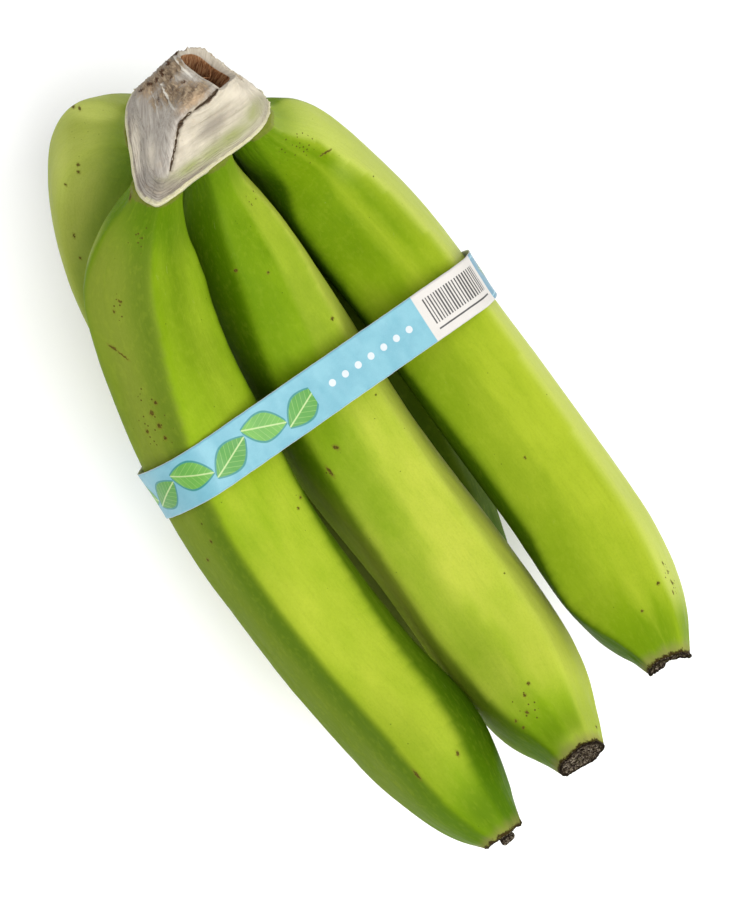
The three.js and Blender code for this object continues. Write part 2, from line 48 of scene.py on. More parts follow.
# ------------------------------------------------------------------- tables
CROWN_POINT = [-77.892, -19.85, 111.716]
CROWN_NORMAL = [-0.506778, 0.207695, 0.836683]
RIDGE_ZERO = [0.02894, -0.146672, 0.988762]
SPINES = {
    "banana_front_left": [
        [-84.04, -16.29, 110.52, 7.06], [-82.7, -17.49, 105.2, 7.24], [-81.43, -19.39, 101.37, 7.96], [-79.51, -22.32, 97.22, 11.02],
        [-74.42, -26.59, 93.2, 13.83], [-67.39, -32.61, 88.14, 17.97], [-57.95, -34.67, 83.73, 18.4], [-41.46, -37.71, 76.39, 18.65],
        [-20.23, -38.9, 70.35, 19.87], [9.11, -40.05, 65.86, 19.87], [36.93, -38.04, 64.85, 19.82], [62.7, -35.13, 67.51, 19.81],
        [87.16, -30.56, 72.96, 19.49], [101.13, -30.59, 75.93, 15.7], [113.25, -28.84, 79.01, 10.09], [117.88, -27.69, 80.31, 6.89],
    ],
    "banana_front_centre": [
        [-85.97, -0.59, 104.53, 7.41], [-83.87, -0.08, 96.73, 7.61], [-80.62, -0.19, 88.08, 8.66], [-73.66, -1.35, 80.5, 12.68],
        [-59.42, -1.38, 73.78, 16.74], [-43.42, -1.64, 67.15, 18.57], [-22.73, -1.73, 59.43, 19.86], [-2.37, -1.7, 55.99, 20.21],
        [17.39, -0.76, 55.17, 20.22], [37.65, 1.43, 56.09, 19.91], [54.75, 2.08, 57.76, 19.87], [67.53, 3.38, 58.76, 19.17],
        [83.79, 3.7, 62.37, 18.64], [95.22, 1.89, 67.49, 16.74], [105.13, 3.7, 74.31, 11.12], [111.8, 2.11, 81.03, 7.64],
    ],
    "banana_front_right": [
        [-88.22, 14.52, 99.48, 7.19], [-86.29, 16.19, 92.45, 7.53], [-83.47, 20.01, 82.62, 11.92], [-79.4, 26.63, 73.14, 14.26],
        [-71.53, 28.14, 64.13, 17.23], [-53.89, 33.22, 57.75, 18.96], [-35.37, 36.37, 57.23, 19.46], [-8.29, 37.88, 57.9, 19.72],
        [21.17, 39.88, 59.66, 19.52], [52.08, 41.31, 62.55, 19.49], [68.85, 40.9, 66.15, 19.49], [84.66, 39.75, 70.5, 16.78],
        [95.08, 40.17, 76.21, 11.48], [102.54, 38.26, 78.62, 6.9],
    ],
    "banana_back_left": [
        [-97.02, -10.3, 100.33, 7.16], [-100.39, -9.25, 87.65, 7.54], [-105.29, -10.36, 76.51, 11.38], [-107.27, -13.35, 68.03, 15.37],
        [-108.35, -21.11, 60.84, 17.44], [-99.42, -21.37, 54.47, 18.85], [-92.67, -25.47, 46.59, 19.38], [-82.89, -27.58, 37.9, 19.5],
        [-64.93, -29.66, 28.97, 19.42], [-36.35, -27.72, 21.34, 19.42], [-7.23, -24.46, 17.94, 19.48], [24.65, -23.09, 17.21, 19.33],
        [50.5, -22.6, 19.56, 18.52], [67.89, -23.18, 24.02, 16.64], [80.68, -23.61, 29.65, 11.22], [87.42, -24.05, 34.45, 7.34],
    ],
    "banana_back_right": [
        [-100.52, 7.22, 94, 6.68], [-99.75, 9.8, 77.59, 7.37], [-96.66, 11.62, 62.24, 10.09], [-90.84, 12.83, 47.4, 13.77],
        [-80.65, 13.73, 34.46, 16.93], [-64.58, 14.14, 27.47, 18.54], [-41.64, 15.49, 22.62, 19.22], [-8.52, 16.47, 19.25, 19.28],
        [18.65, 16.15, 19.26, 18.81], [35.1, 15.64, 20.12, 16.83], [44.91, 15.23, 21.8, 14.09], [53.43, 14.39, 24.46, 11.96],
        [60.78, 13.36, 28.13, 7.74],
    ],
}
RIDGES = {
    "banana_front_left": ([0, 0.2, 0.3, 0.4, 0.5, 0.6, 0.75, 0.9, 1], [
        [5, 3, -6, -16, -19, -20, -19, -21, -26],
        [80, 78, 72, 64, 58, 52, 38, 26, 18],
        [150, 148, 142, 134, 131, 126, 124, 121, 118],
        [222, 220, 212, 204, 201, 196, 194, 191, 188],
        [-70, -72, -80, -90, -92, -96, -98, -101, -104],
    ]),
    "banana_front_centre": ([0, 0.12, 0.2, 0.28, 0.35, 0.5, 0.6, 0.75, 0.9, 1], [
        [-8, -12, -17, -26, -31, -32, -37, -44, -40, -40],
        [62, 60, 55, 48, 46, 46, 44, 40, 40, 40],
        [132, 130, 125, 118, 114, 114, 110, 106, 106, 106],
        [206, 204, 198, 190, 186, 186, 182, 178, 178, 178],
        [-82, -84, -90, -98, -101, -102, -106, -112, -112, -112],
    ]),
    "banana_front_right": ([0, 0.1, 0.2, 0.29, 0.37, 0.52, 0.65, 0.77, 0.88, 1], [
        [-20, -34, -47, -54, -57, -51, -49, -48, -62, -45],
        [28, 31, 37, 41, 43, 46, 43, 42, 42, 42],
        [100, 102, 106, 108, 110, 112, 112, 112, 112, 112],
        [172, 172, 172, 172, 172, 172, 172, 172, 172, 172],
        [-92, -104, -114, -119, -121, -119, -118, -117, -126, -114],
    ]),
    "banana_back_left": ([0, 1], [
        [-60, -60],
        [12, 12],
        [84, 84],
        [156, 156],
        [228, 228],
    ]),
    "banana_back_right": ([0, 0.49, 0.61, 0.74, 1], [
        [20, 24, 29, 36, 36],
        [92, 96, 101, 108, 108],
        [164, 168, 173, 180, 180],
        [236, 240, 245, 252, 252],
        [-52, -48, -43, -36, -36],
    ]),
}
CROWN_RINGS = [
    [
        [-77.66, -20.08, 113.47], [-79.36, -22.18, 112.96], [-82.88, -23.09, 111.05], [-87.42, -22.07, 108.05],
        [-93.68, -18.96, 103.49], [-99.95, -15.7, 98.88], [-105.6, -12.52, 94.67], [-109.29, -9.79, 91.76],
        [-111.58, -6.64, 89.59], [-112.59, -2.67, 87.99], [-112.6, 1.67, 86.9], [-111.91, 5.88, 86.28],
        [-110.38, 9.56, 86.29], [-108.29, 12.86, 86.74], [-105.65, 15.78, 87.61], [-102.46, 18.33, 88.91],
        [-98.73, 20.49, 90.63], [-94.32, 22.51, 92.8], [-90.67, 23.34, 94.81], [-86.78, 22.14, 97.47],
        [-83.19, 17.46, 100.8], [-81.45, 10.26, 103.64], [-80.28, -0.44, 107], [-78.39, -12.48, 111.14],
    ],
    [
        [-80.33, -17.78, 117.56], [-81.91, -19.45, 116.94], [-85.13, -19.78, 114.87], [-89.2, -18.5, 111.73],
        [-94.79, -15.5, 107.54], [-100.67, -13.15, 103.58], [-105.88, -10.71, 100.33], [-109.35, -8.13, 97.83],
        [-111.08, -5.2, 95.87], [-111.73, -1.66, 94.38], [-111.96, 2.41, 92.56], [-111.65, 6.27, 91.12],
        [-110.3, 9.66, 90.66], [-108.42, 12.69, 90.99], [-105.85, 15.26, 91.66], [-102.91, 17.53, 93.06],
        [-99.43, 19.37, 95.17], [-95.14, 21.28, 97.76], [-91.5, 22.22, 99.92], [-87.61, 21.21, 102.68],
        [-84.37, 16.79, 105.89], [-82.68, 9.82, 108.7], [-81.84, -0.35, 111.78], [-80.6, -11.59, 115.46],
    ],
    [
        [-83.39, -13.57, 121.21], [-84.91, -14.88, 120.59], [-87.79, -14.93, 118.64], [-91.32, -13.77, 115.74],
        [-96.12, -11.31, 112.18], [-101.37, -9.76, 108.96], [-105.98, -8.04, 106.61], [-109.13, -5.86, 104.57],
        [-110.49, -3.38, 102.83], [-110.93, -0.41, 101.46], [-111.27, 3.16, 99.33], [-111.19, 6.57, 97.5],
        [-110.05, 9.56, 96.75], [-108.42, 12.26, 96.94], [-106.07, 14.51, 97.39], [-103.44, 16.48, 98.62],
        [-100.28, 18.02, 100.61], [-96.24, 19.74, 103.1], [-92.69, 20.71, 105.15], [-89.06, 19.94, 107.74],
        [-86.28, 16.06, 110.72], [-84.76, 9.85, 113.45], [-84.11, 0.95, 116.28], [-83.29, -8.75, 119.49],
    ],
    [
        [-92.27, -5.91, 127.7], [-93.63, -6.45, 127.07], [-95.03, -6.51, 125.12], [-96.66, -5.52, 122.85],
        [-99.1, -3.97, 120.64], [-102.9, -3.38, 118.71], [-106.17, -2.55, 117.69], [-108.45, -1.46, 116.42],
        [-109.44, 0.05, 114.88], [-110.1, 1.87, 113.55], [-110.48, 4.33, 111.73], [-110.19, 6.96, 109.68],
        [-109.18, 9.01, 108.92], [-108, 11.11, 108.87], [-106.44, 12.96, 108.94], [-104.14, 14.3, 109.49],
        [-101.58, 15.4, 110.56], [-98.09, 16.76, 112.15], [-94.83, 17.72, 113.61], [-92.11, 17.53, 115.48],
        [-90.07, 15.06, 118.3], [-89.2, 10.74, 121.26], [-88.84, 4.45, 124.08], [-89.64, -2.27, 126.88],
    ],
    [
        [-94.22, 7.22, 130.37], [-95.83, 6.66, 130.33], [-97.52, 6.17, 129.8], [-99.12, 5.33, 129.22],
        [-101.1, 4.39, 128.63], [-103.39, 3.96, 128.13], [-105.46, 3.67, 128.15], [-107.24, 3.55, 127.68],
        [-108.37, 3.68, 126.72], [-108.85, 4.35, 125.82], [-109.02, 5.48, 124.47], [-108.9, 7.06, 123.19],
        [-108.51, 8.45, 122.37], [-107.8, 9.94, 122.07], [-106.8, 11.24, 121.73], [-105.34, 12.27, 121.33],
        [-103.42, 13.01, 120.88], [-100.67, 13.84, 120.92], [-97.84, 14.58, 121.45], [-95.98, 14.61, 122.41],
        [-95.13, 13.62, 124.27], [-94.64, 11.87, 126.52], [-93.92, 9.99, 128.75], [-93.43, 7.98, 130.46],
    ],
]
BAND_POINT = [-11.608, -46.178, 85.643]
BAND_AXIS = [0.987384, 0.038695, -0.15354]
BAND_U = [-0.015872, 0.988984, 0.147169]
BAND_V = [0.157544, -0.142876, 0.977122]
BAND_LOOP = [
    [94.73, -51.94], [96.51, -48.91], [97.57, -45.57], [97.89, -42.07], [97.63, -38.57], [97.07, -35.1], [96.24, -31.68], [95.04, -28.38],
    [92.96, -25.58], [89.9, -23.89], [86.56, -22.81], [83.19, -21.79], [79.83, -20.76], [76.47, -19.74], [73.11, -18.71], [69.74, -17.69],
    [66.38, -16.66], [63.02, -15.64], [59.65, -14.61], [56.29, -13.59], [52.93, -12.56], [49.56, -11.54], [46.2, -10.51], [42.84, -9.49],
    [39.48, -8.46], [36.11, -7.44], [32.75, -6.41], [29.39, -5.39], [26.02, -4.36], [22.66, -3.34], [19.3, -2.31], [15.93, -1.29],
    [12.57, -0.26], [9.21, 0.76], [5.83, 1.72], [2.35, 2.18], [-1.13, 1.72], [-4.34, 0.32], [-7.03, -1.93], [-9.37, -4.55],
    [-11.49, -7.35], [-13.39, -10.31], [-15, -13.43], [-15.97, -16.8], [-15.92, -20.31], [-15.43, -23.79], [-14.91, -27.27], [-14.38, -30.74],
    [-13.85, -34.22], [-13.33, -37.69], [-12.8, -41.17], [-12.28, -44.65], [-11.75, -48.12], [-11.23, -51.6], [-10.7, -55.08], [-10.18, -58.55],
    [-9.65, -62.03], [-9.12, -65.5], [-8.6, -68.98], [-8.06, -72.46], [-7.42, -75.91], [-6.42, -79.28], [-4.55, -82.23], [-1.71, -84.27],
    [1.55, -85.58], [4.93, -86.55], [8.38, -87.25], [11.85, -87.8], [15.32, -88.32], [18.8, -88.85], [22.28, -89.37], [25.75, -89.89],
    [29.23, -90.42], [32.71, -90.94], [36.18, -91.46], [39.66, -91.99], [43.14, -92.51], [46.61, -93.04], [50.09, -93.55], [53.59, -93.9],
    [57.03, -93.3], [60.09, -91.59], [62.82, -89.38], [65.35, -86.94], [67.7, -84.33], [69.96, -81.64], [72.22, -78.94], [74.48, -76.25],
    [76.73, -73.55], [78.99, -70.86], [81.25, -68.16], [83.51, -65.46], [85.76, -62.77], [88.02, -60.07], [90.28, -57.38], [92.54, -54.68],
]
# viewing frame: right, up, towards the camera
VIEW_RIGHT = [0.530453, 0.840655, 0.109176]
VIEW_UP = [-0.84722, 0.521332, 0.102131]
VIEW_BACK = [0.02894, -0.146672, 0.988762]
VIEW_CENTRE = [7.021, 0.272, 65.693]
CROWN_HOLE = [
    [-94.41, 8.03, 129.58], [-95.91, 7.39, 129.53], [-97.37, 6.77, 128.98], [-99.09, 5.99, 128.41],
    [-100.93, 5.28, 127.85], [-102.63, 4.80, 127.32], [-104.24, 4.23, 127.29], [-105.80, 3.97, 126.79],
    [-107.23, 4.13, 125.84], [-107.71, 4.79, 124.94], [-107.73, 5.99, 123.60], [-107.59, 7.10, 122.25],
    [-107.26, 8.06, 121.37], [-106.42, 8.99, 120.98], [-105.03, 9.90, 120.56], [-103.48, 10.56, 120.11],
    [-101.93, 11.21, 119.66], [-100.11, 11.98, 119.72], [-98.41, 12.80, 120.29], [-96.86, 13.34, 121.34],
    [-95.80, 12.69, 123.24], [-95.12, 10.98, 125.49], [-94.60, 9.54, 127.79], [-94.17, 8.41, 129.63],
]

# marks on the peel: centre mm, direction, half length, half width mm
MARKS = {
    "banana_front_left": [
        ((-53.46, -49.38, 90.57), (0.89, 0.37, 0.27), 1.57, 0.43),
        ((-50.19, -48.19, 91.18), (0.94, 0.31, 0.13), 1.99, 0.31),
        ((5.93, -53.46, 77.84), (1.00, 0.04, -0.05), 0.50, 0.43),
        ((9.68, -56.68, 71.36), (1.00, 0.04, -0.07), 0.51, 0.50),
        ((2.59, -23.98, 76.99), (0.94, -0.26, 0.25), 0.47, 0.43),
        ((8.70, -25.70, 79.07), (0.95, -0.25, 0.18), 0.46, 0.43),
        ((10.94, -27.89, 80.28), (1.00, -0.09, -0.01), 0.36, 0.36),
        ((90.90, -39.63, 88.07), (0.99, 0.10, 0.02), 1.57, 0.50),
        ((91.81, -27.90, 89.45), (1.00, -0.02, 0.02), 0.80, 0.46),
        ((-32.66, -49.45, 86.66), (0.97, 0.21, 0.10), 0.71, 0.71),
        ((-28.65, -49.48, 86.15), (0.98, -0.08, -0.18), 0.71, 0.71),
        ((-29.39, -52.74, 82.00), (1.00, 0.03, -0.05), 0.57, 0.57),
        ((-24.87, -49.84, 85.48), (1.00, 0.03, -0.04), 0.57, 0.57),
        ((-34.46, -47.32, 89.10), (0.97, 0.22, 0.08), 0.57, 0.57),
        ((-62.46, -41.87, 99.75), (0.97, 0.21, 0.09), 0.59, 0.43),
        ((-61.14, -44.37, 97.44), (1.00, 0.04, -0.08), 0.49, 0.36),
        ((-84.79, -24.95, 107.36), (0.68, -0.63, -0.37), 1.41, 0.71),
    ],
    "banana_front_centre": [
        ((-54.49, -8.37, 87.30), (0.94, -0.20, -0.28), 0.45, 0.43),
        ((-49.33, -0.62, 86.25), (0.94, -0.20, -0.26), 0.45, 0.43),
        ((-29.65, 9.06, 77.79), (0.94, 0.08, -0.33), 0.53, 0.50),
        ((1.79, -8.79, 72.72), (0.85, 0.52, 0.02), 0.95, 0.57),
        ((6.69, -13.48, 70.64), (0.99, 0.10, -0.00), 1.62, 0.46),
        ((86.84, 1.03, 79.55), (0.94, -0.27, 0.21), 0.50, 0.50),
        ((89.07, -1.74, 79.55), (0.95, -0.26, 0.18), 0.45, 0.43),
        ((93.43, -3.75, 79.90), (0.98, 0.00, 0.19), 0.51, 0.43),
        ((93.85, -7.23, 78.17), (0.97, -0.22, -0.14), 0.45, 0.43),
        ((96.51, -6.69, 78.81), (0.96, -0.21, -0.16), 0.45, 0.36),
        ((107.26, 10.36, 80.53), (0.91, -0.28, 0.30), 0.46, 0.43),
    ],
    "banana_front_right": [
        ((-70.10, 32.12, 82.51), (-0.03, 0.94, -0.34), 3.23, 0.31),
        ((32.65, 35.66, 73.94), (0.97, 0.19, 0.17), 0.45, 0.40),
        ((78.65, 51.60, 80.99), (0.98, 0.07, -0.21), 0.53, 0.50),
        ((81.27, 51.59, 80.41), (0.92, -0.29, 0.26), 0.46, 0.43),
        ((84.47, 50.82, 80.73), (0.78, 0.29, -0.56), 0.78, 0.50),
        ((86.98, 49.32, 82.31), (0.96, 0.08, -0.26), 0.54, 0.43),
        ((82.47, 46.68, 84.09), (1.00, 0.01, 0.09), 0.51, 0.43),
        ((86.55, 38.58, 84.23), (0.97, 0.20, 0.14), 0.43, 0.43),
    ],
    "banana_back_left": [
        ((-119.15, -20.01, 69.28), (0.53, -0.02, 0.85), 1.54, 0.50),
        ((-117.32, -19.06, 73.02), (0.61, -0.09, 0.78), 1.07, 0.43),
        ((-104.82, -28.13, 73.74), (0.75, -0.45, -0.48), 0.50, 0.50),
        ((-103.07, -29.18, 72.39), (0.95, 0.06, -0.30), 0.51, 0.50),
        ((-102.42, -33.82, 68.25), (1.00, 0.04, -0.07), 0.51, 0.43),
        ((-90.05, -38.60, 57.92), (0.76, -0.21, -0.62), 0.80, 0.37),
        ((-84.20, -40.10, 53.31), (0.90, 0.07, -0.43), 0.55, 0.43),
    ],
    "banana_back_right": [
    ],
}
CLUSTERS = {
    "banana_front_left": [
        ((-30.97, -49.98, 85.85), (0.95, -0.08, -0.30), 9.60, 6.40),
        ((-61.60, -42.23, 99.39), (0.82, -0.35, -0.46), 4.80, 3.20),
        ((-74.52, -28.03, 105.21), (0.51, -0.51, -0.69), 6.17, 4.11),
    ],
    "banana_front_centre": [
        ((91.52, -2.85, 79.82), (0.85, -0.02, 0.53), 6.86, 4.57),
        ((-70.24, 6.07, 89.55), (0.67, -0.06, -0.74), 5.49, 3.66),
        ((6.56, -12.95, 71.07), (1.00, 0.05, -0.05), 4.11, 2.74),
    ],
    "banana_front_right": [
        ((-74.73, 23.91, 88.15), (0.31, 0.42, -0.85), 8.91, 5.94),
        ((82.13, 51.02, 81.19), (0.92, -0.03, 0.38), 7.54, 5.03),
    ],
    "banana_back_left": [
    ],
    "banana_back_right": [
    ],
}

# ------------------------------------------------------------ lattice noise
def noise3(p, seed=0):
    """Smooth value noise in -1..1 at rows of 3-D points; the same every run."""
    p = np.asarray(p, float)
    base = np.floor(p).astype(np.int64)
    f = p - base
    f = f * f * f * (f * (f * 6 - 15) + 10)
    total = np.zeros(p.shape[:-1])
    for corner in range(8):
        d = np.array([corner & 1, corner >> 1 & 1, corner >> 2 & 1])
        q = base + d
        n = (q[..., 0] * 73856093) ^ (q[..., 1] * 19349663) ^ (q[..., 2] * 83492791)
        n = (n ^ (seed * 7919 + 17)) & 0x7FFFFFFF
        n = ((n ^ (n >> 13)) * 1274126177) & 0x7FFFFFFF
        n = ((n ^ (n >> 15)) * 668265263) & 0x7FFFFFFF
        value = ((n ^ (n >> 16)) & 0xFFFF) / 32767.5 - 1
        w = np.where(d == 1, f, 1 - f).prod(axis=-1)
        total += w * value
    return total


def fbm(p, seed=0, octaves=3, gain=0.5):
    p = np.asarray(p, float)
    total, size = 0, 1.0
    for k in range(octaves):
        total = total + size * noise3(p * 2 ** k, seed + 31 * k)
        size *= gain
    return total


def ease(x, a, b):
    """0 at a, 1 at b, smooth between; a may be above b."""
    t = np.clip((np.asarray(x, float) - a) / (b - a), 0, 1)
    return t * t * (3 - 2 * t)


# ------------------------------------------------------------------- curves
def curve_through(rows, count):
    rows = np.asarray(rows, float)
    step = np.linalg.norm(np.diff(rows[:, :3], axis=0), axis=1)
    s = np.concatenate([[0], np.cumsum(step)])
    last = len(rows) - 1
    diff = np.diff(rows, axis=0) / step[:, None]
    slope = np.zeros_like(rows)
    slope[0], slope[last] = diff[0], diff[-1]
    h0, h1 = step[:-1, None], step[1:, None]
    slope[1:-1] = (diff[:-1] * h1 + diff[1:] * h0) / (h0 + h1)
    x = np.linspace(0, s[-1], count)
    i = np.clip(np.searchsorted(s, x, side="right") - 1, 0, last - 1)
    h = step[i][:, None]
    u = (x - s[i])[:, None] / h
    return ((2 * u ** 3 - 3 * u ** 2 + 1) * rows[i]
            + (u ** 3 - 2 * u ** 2 + u) * h * slope[i]
            + (-2 * u ** 3 + 3 * u ** 2) * rows[i + 1]
            + (u ** 3 - u ** 2) * h * slope[i + 1])


def arc_lengths(rows):
    return np.concatenate([[0], np.cumsum(np.linalg.norm(np.diff(rows[:, :3], axis=0), axis=1))])


def smoothed(rows, passes):
    rows = rows.copy()
    for _ in range(passes):
        inner = 0.5 * rows[1:-1] + 0.25 * (rows[:-2] + rows[2:])
        rows[1:-1] = inner
    return rows


def spine(rows):
    c = curve_through(rows, 160)
    for _ in range(2):
        s = arc_lengths(c)
        x = np.linspace(0, s[-1], len(c))
        c = np.stack([np.interp(x, s, c[:, k]) for k in range(4)], 1)
        c[:, :3] = smoothed(c[:, :3], 40)
        c[:, 3:] = smoothed(c[:, 3:], 10)
    return c


def axes_along(c):
    """Untwisted axes along a spine: along, side, up."""
    n = len(c)
    ends = np.clip(np.arange(n) + 1, 0, n - 1), np.clip(np.arange(n) - 1, 0, n - 1)
    along = c[ends[0], :3] - c[ends[1], :3]
    along /= np.linalg.norm(along, axis=1)[:, None]
    up = np.zeros((n, 3))

    def carry(v, t):
        v = v - t * (v @ t)
        return v / np.linalg.norm(v)

    mid = n // 2
    up[mid] = carry(np.array(RIDGE_ZERO), along[mid])
    for i in range(mid + 1, n):
        up[i] = carry(up[i - 1], along[i])
    for i in range(mid - 1, -1, -1):
        up[i] = carry(up[i + 1], along[i])
    return along, np.cross(up, along), up


# ------------------------------------------------------------------- meshes
def grid_faces(rows, columns, closed=True, flip=False):
    """Quads of a rows x columns grid of points; closed joins the last column to the first."""
    i = np.arange(rows - 1)[:, None]
    j = np.arange(columns if closed else columns - 1)[None, :]
    q = (j + 1) % columns
    a, b = i * columns + j, (i + 1) * columns + j
    c, d = (i + 1) * columns + q, i * columns + q
    quads = np.stack([a, b, c, d] if not flip else [a, d, c, b], -1).reshape(-1, 4)
    return quads.tolist()


def signed_volume(points, faces):
    total = 0.0
    for f in faces:
        for k in range(1, len(f) - 1):
            total += points[f[0]] @ np.cross(points[f[k]], points[f[k + 1]])
    return total


def make_mesh(name, points, faces, attributes=(), smooth=True):
    """Object from points in mm; attributes are {name: values per point}."""
    points = np.asarray(points, float)
    mesh = bpy.data.meshes.new(name)
    mesh.from_pydata((points * MM).tolist(), [], faces)
    mesh.validate()
    for key, values in dict(attributes).items():
        values = np.asarray(values, float)
        kind = "FLOAT" if values.ndim == 1 else "FLOAT_VECTOR"
        layer = mesh.attributes.new(key, kind, "POINT")
        layer.data.foreach_set("value" if kind == "FLOAT" else "vector",
                               values.astype(np.float32).ravel())
    mesh.polygons.foreach_set("use_smooth", [smooth] * len(mesh.polygons))
    mesh.update()
    obj = bpy.data.objects.new(name, mesh)
    bpy.context.scene.collection.objects.link(obj)
    return obj


# ------------------------------------------------------------------- fruits
# what the blossom end of each fruit looks like: radius shares and heights of
# the rings from the last ring of peel to the middle of the scar
SIDES = 160
STATIONS = 280


def section_shapes(angles, flatness, sides):
    """Radius share round the section and the angle to the nearest ridge, for rows of five ridge angles."""
    ridge = np.sort(np.mod(angles, 360.0), axis=1)
    th = np.arange(sides) * 360.0 / sides
    r = np.ones((len(ridge), sides))
    for i in range(5):
        a0 = ridge[:, i]
        a1 = ridge[:, (i + 1) % 5] + (360 if i == 4 else 0)
        mid, half = (a0 + a1) / 2, np.radians((a1 - a0) / 2)
        for turn in (-360, 0, 360):
            x = th[None, :] + turn
            inside = (x >= a0[:, None]) & (x < a1[:, None])
            local = np.radians(x - mid[:, None])
            flat = 1 - flatness[:, None] * (1 - np.cos(half)[:, None] / np.cos(np.where(inside, local, 0)))
            r = np.where(inside, flat, r)
    for _ in range(round(6 * (sides / 120) ** 2)):
        r = 0.5 * r + 0.25 * (np.roll(r, 1, 1) + np.roll(r, -1, 1))
    gap = np.abs((th[None, :, None] - ridge[:, None, :] + 180) % 360 - 180).min(-1)
    return r, gap


def facet_tones(angles, values, sides):
    """One value per facet; facet k lies between ridge k and ridge k + 1."""
    th = np.arange(sides) * 360.0 / sides
    tone = np.zeros((len(angles), sides))
    for k in range(5):
        a0 = angles[:, k] % 360
        width = (angles[:, (k + 1) % 5] - angles[:, k]) % 360
        inside = np.mod(th[None, :] - a0[:, None], 360) < width[:, None]
        tone = np.where(inside, values[k], tone)
    for _ in range(round(4 * (sides / 120) ** 2)):
        tone = 0.5 * tone + 0.25 * (np.roll(tone, 1, 1) + np.roll(tone, -1, 1))
    return tone


def closeness(name, points):
    """Painted shade where the peel lies against another fruit: 1 there, falling to 0 some 12 mm away."""
    flat = points.reshape(-1, 3)
    gap = np.full(len(flat), 99.0)
    for other, rows in SPINES.items():
        if other == name:
            continue
        core = spine(rows)[::2]
        for k in range(0, len(flat), 6000):
            part = flat[k:k + 6000]
            d = np.linalg.norm(part[:, None] - core[None, :, :3], axis=2) - core[None, :, 3]
            gap[k:k + 6000] = np.minimum(gap[k:k + 6000], d.min(1))
    return np.exp(-(np.maximum(gap, 0) / 5.5) ** 1.3).reshape(points.shape[:-1])


def tip_wave(tip, th, seed):
    """How far the torn edge of the blossom end stands out, mm."""
    spots = np.stack([np.sin(th), np.cos(th), 0 * th], -1)
    return tip["skew"] * np.sin(th) - tip["wave"] * np.cos(2 * (th - tip["toward"])) + 0.42 * fbm(spots * [2.1, 2.1, 1], seed + 44, 3)


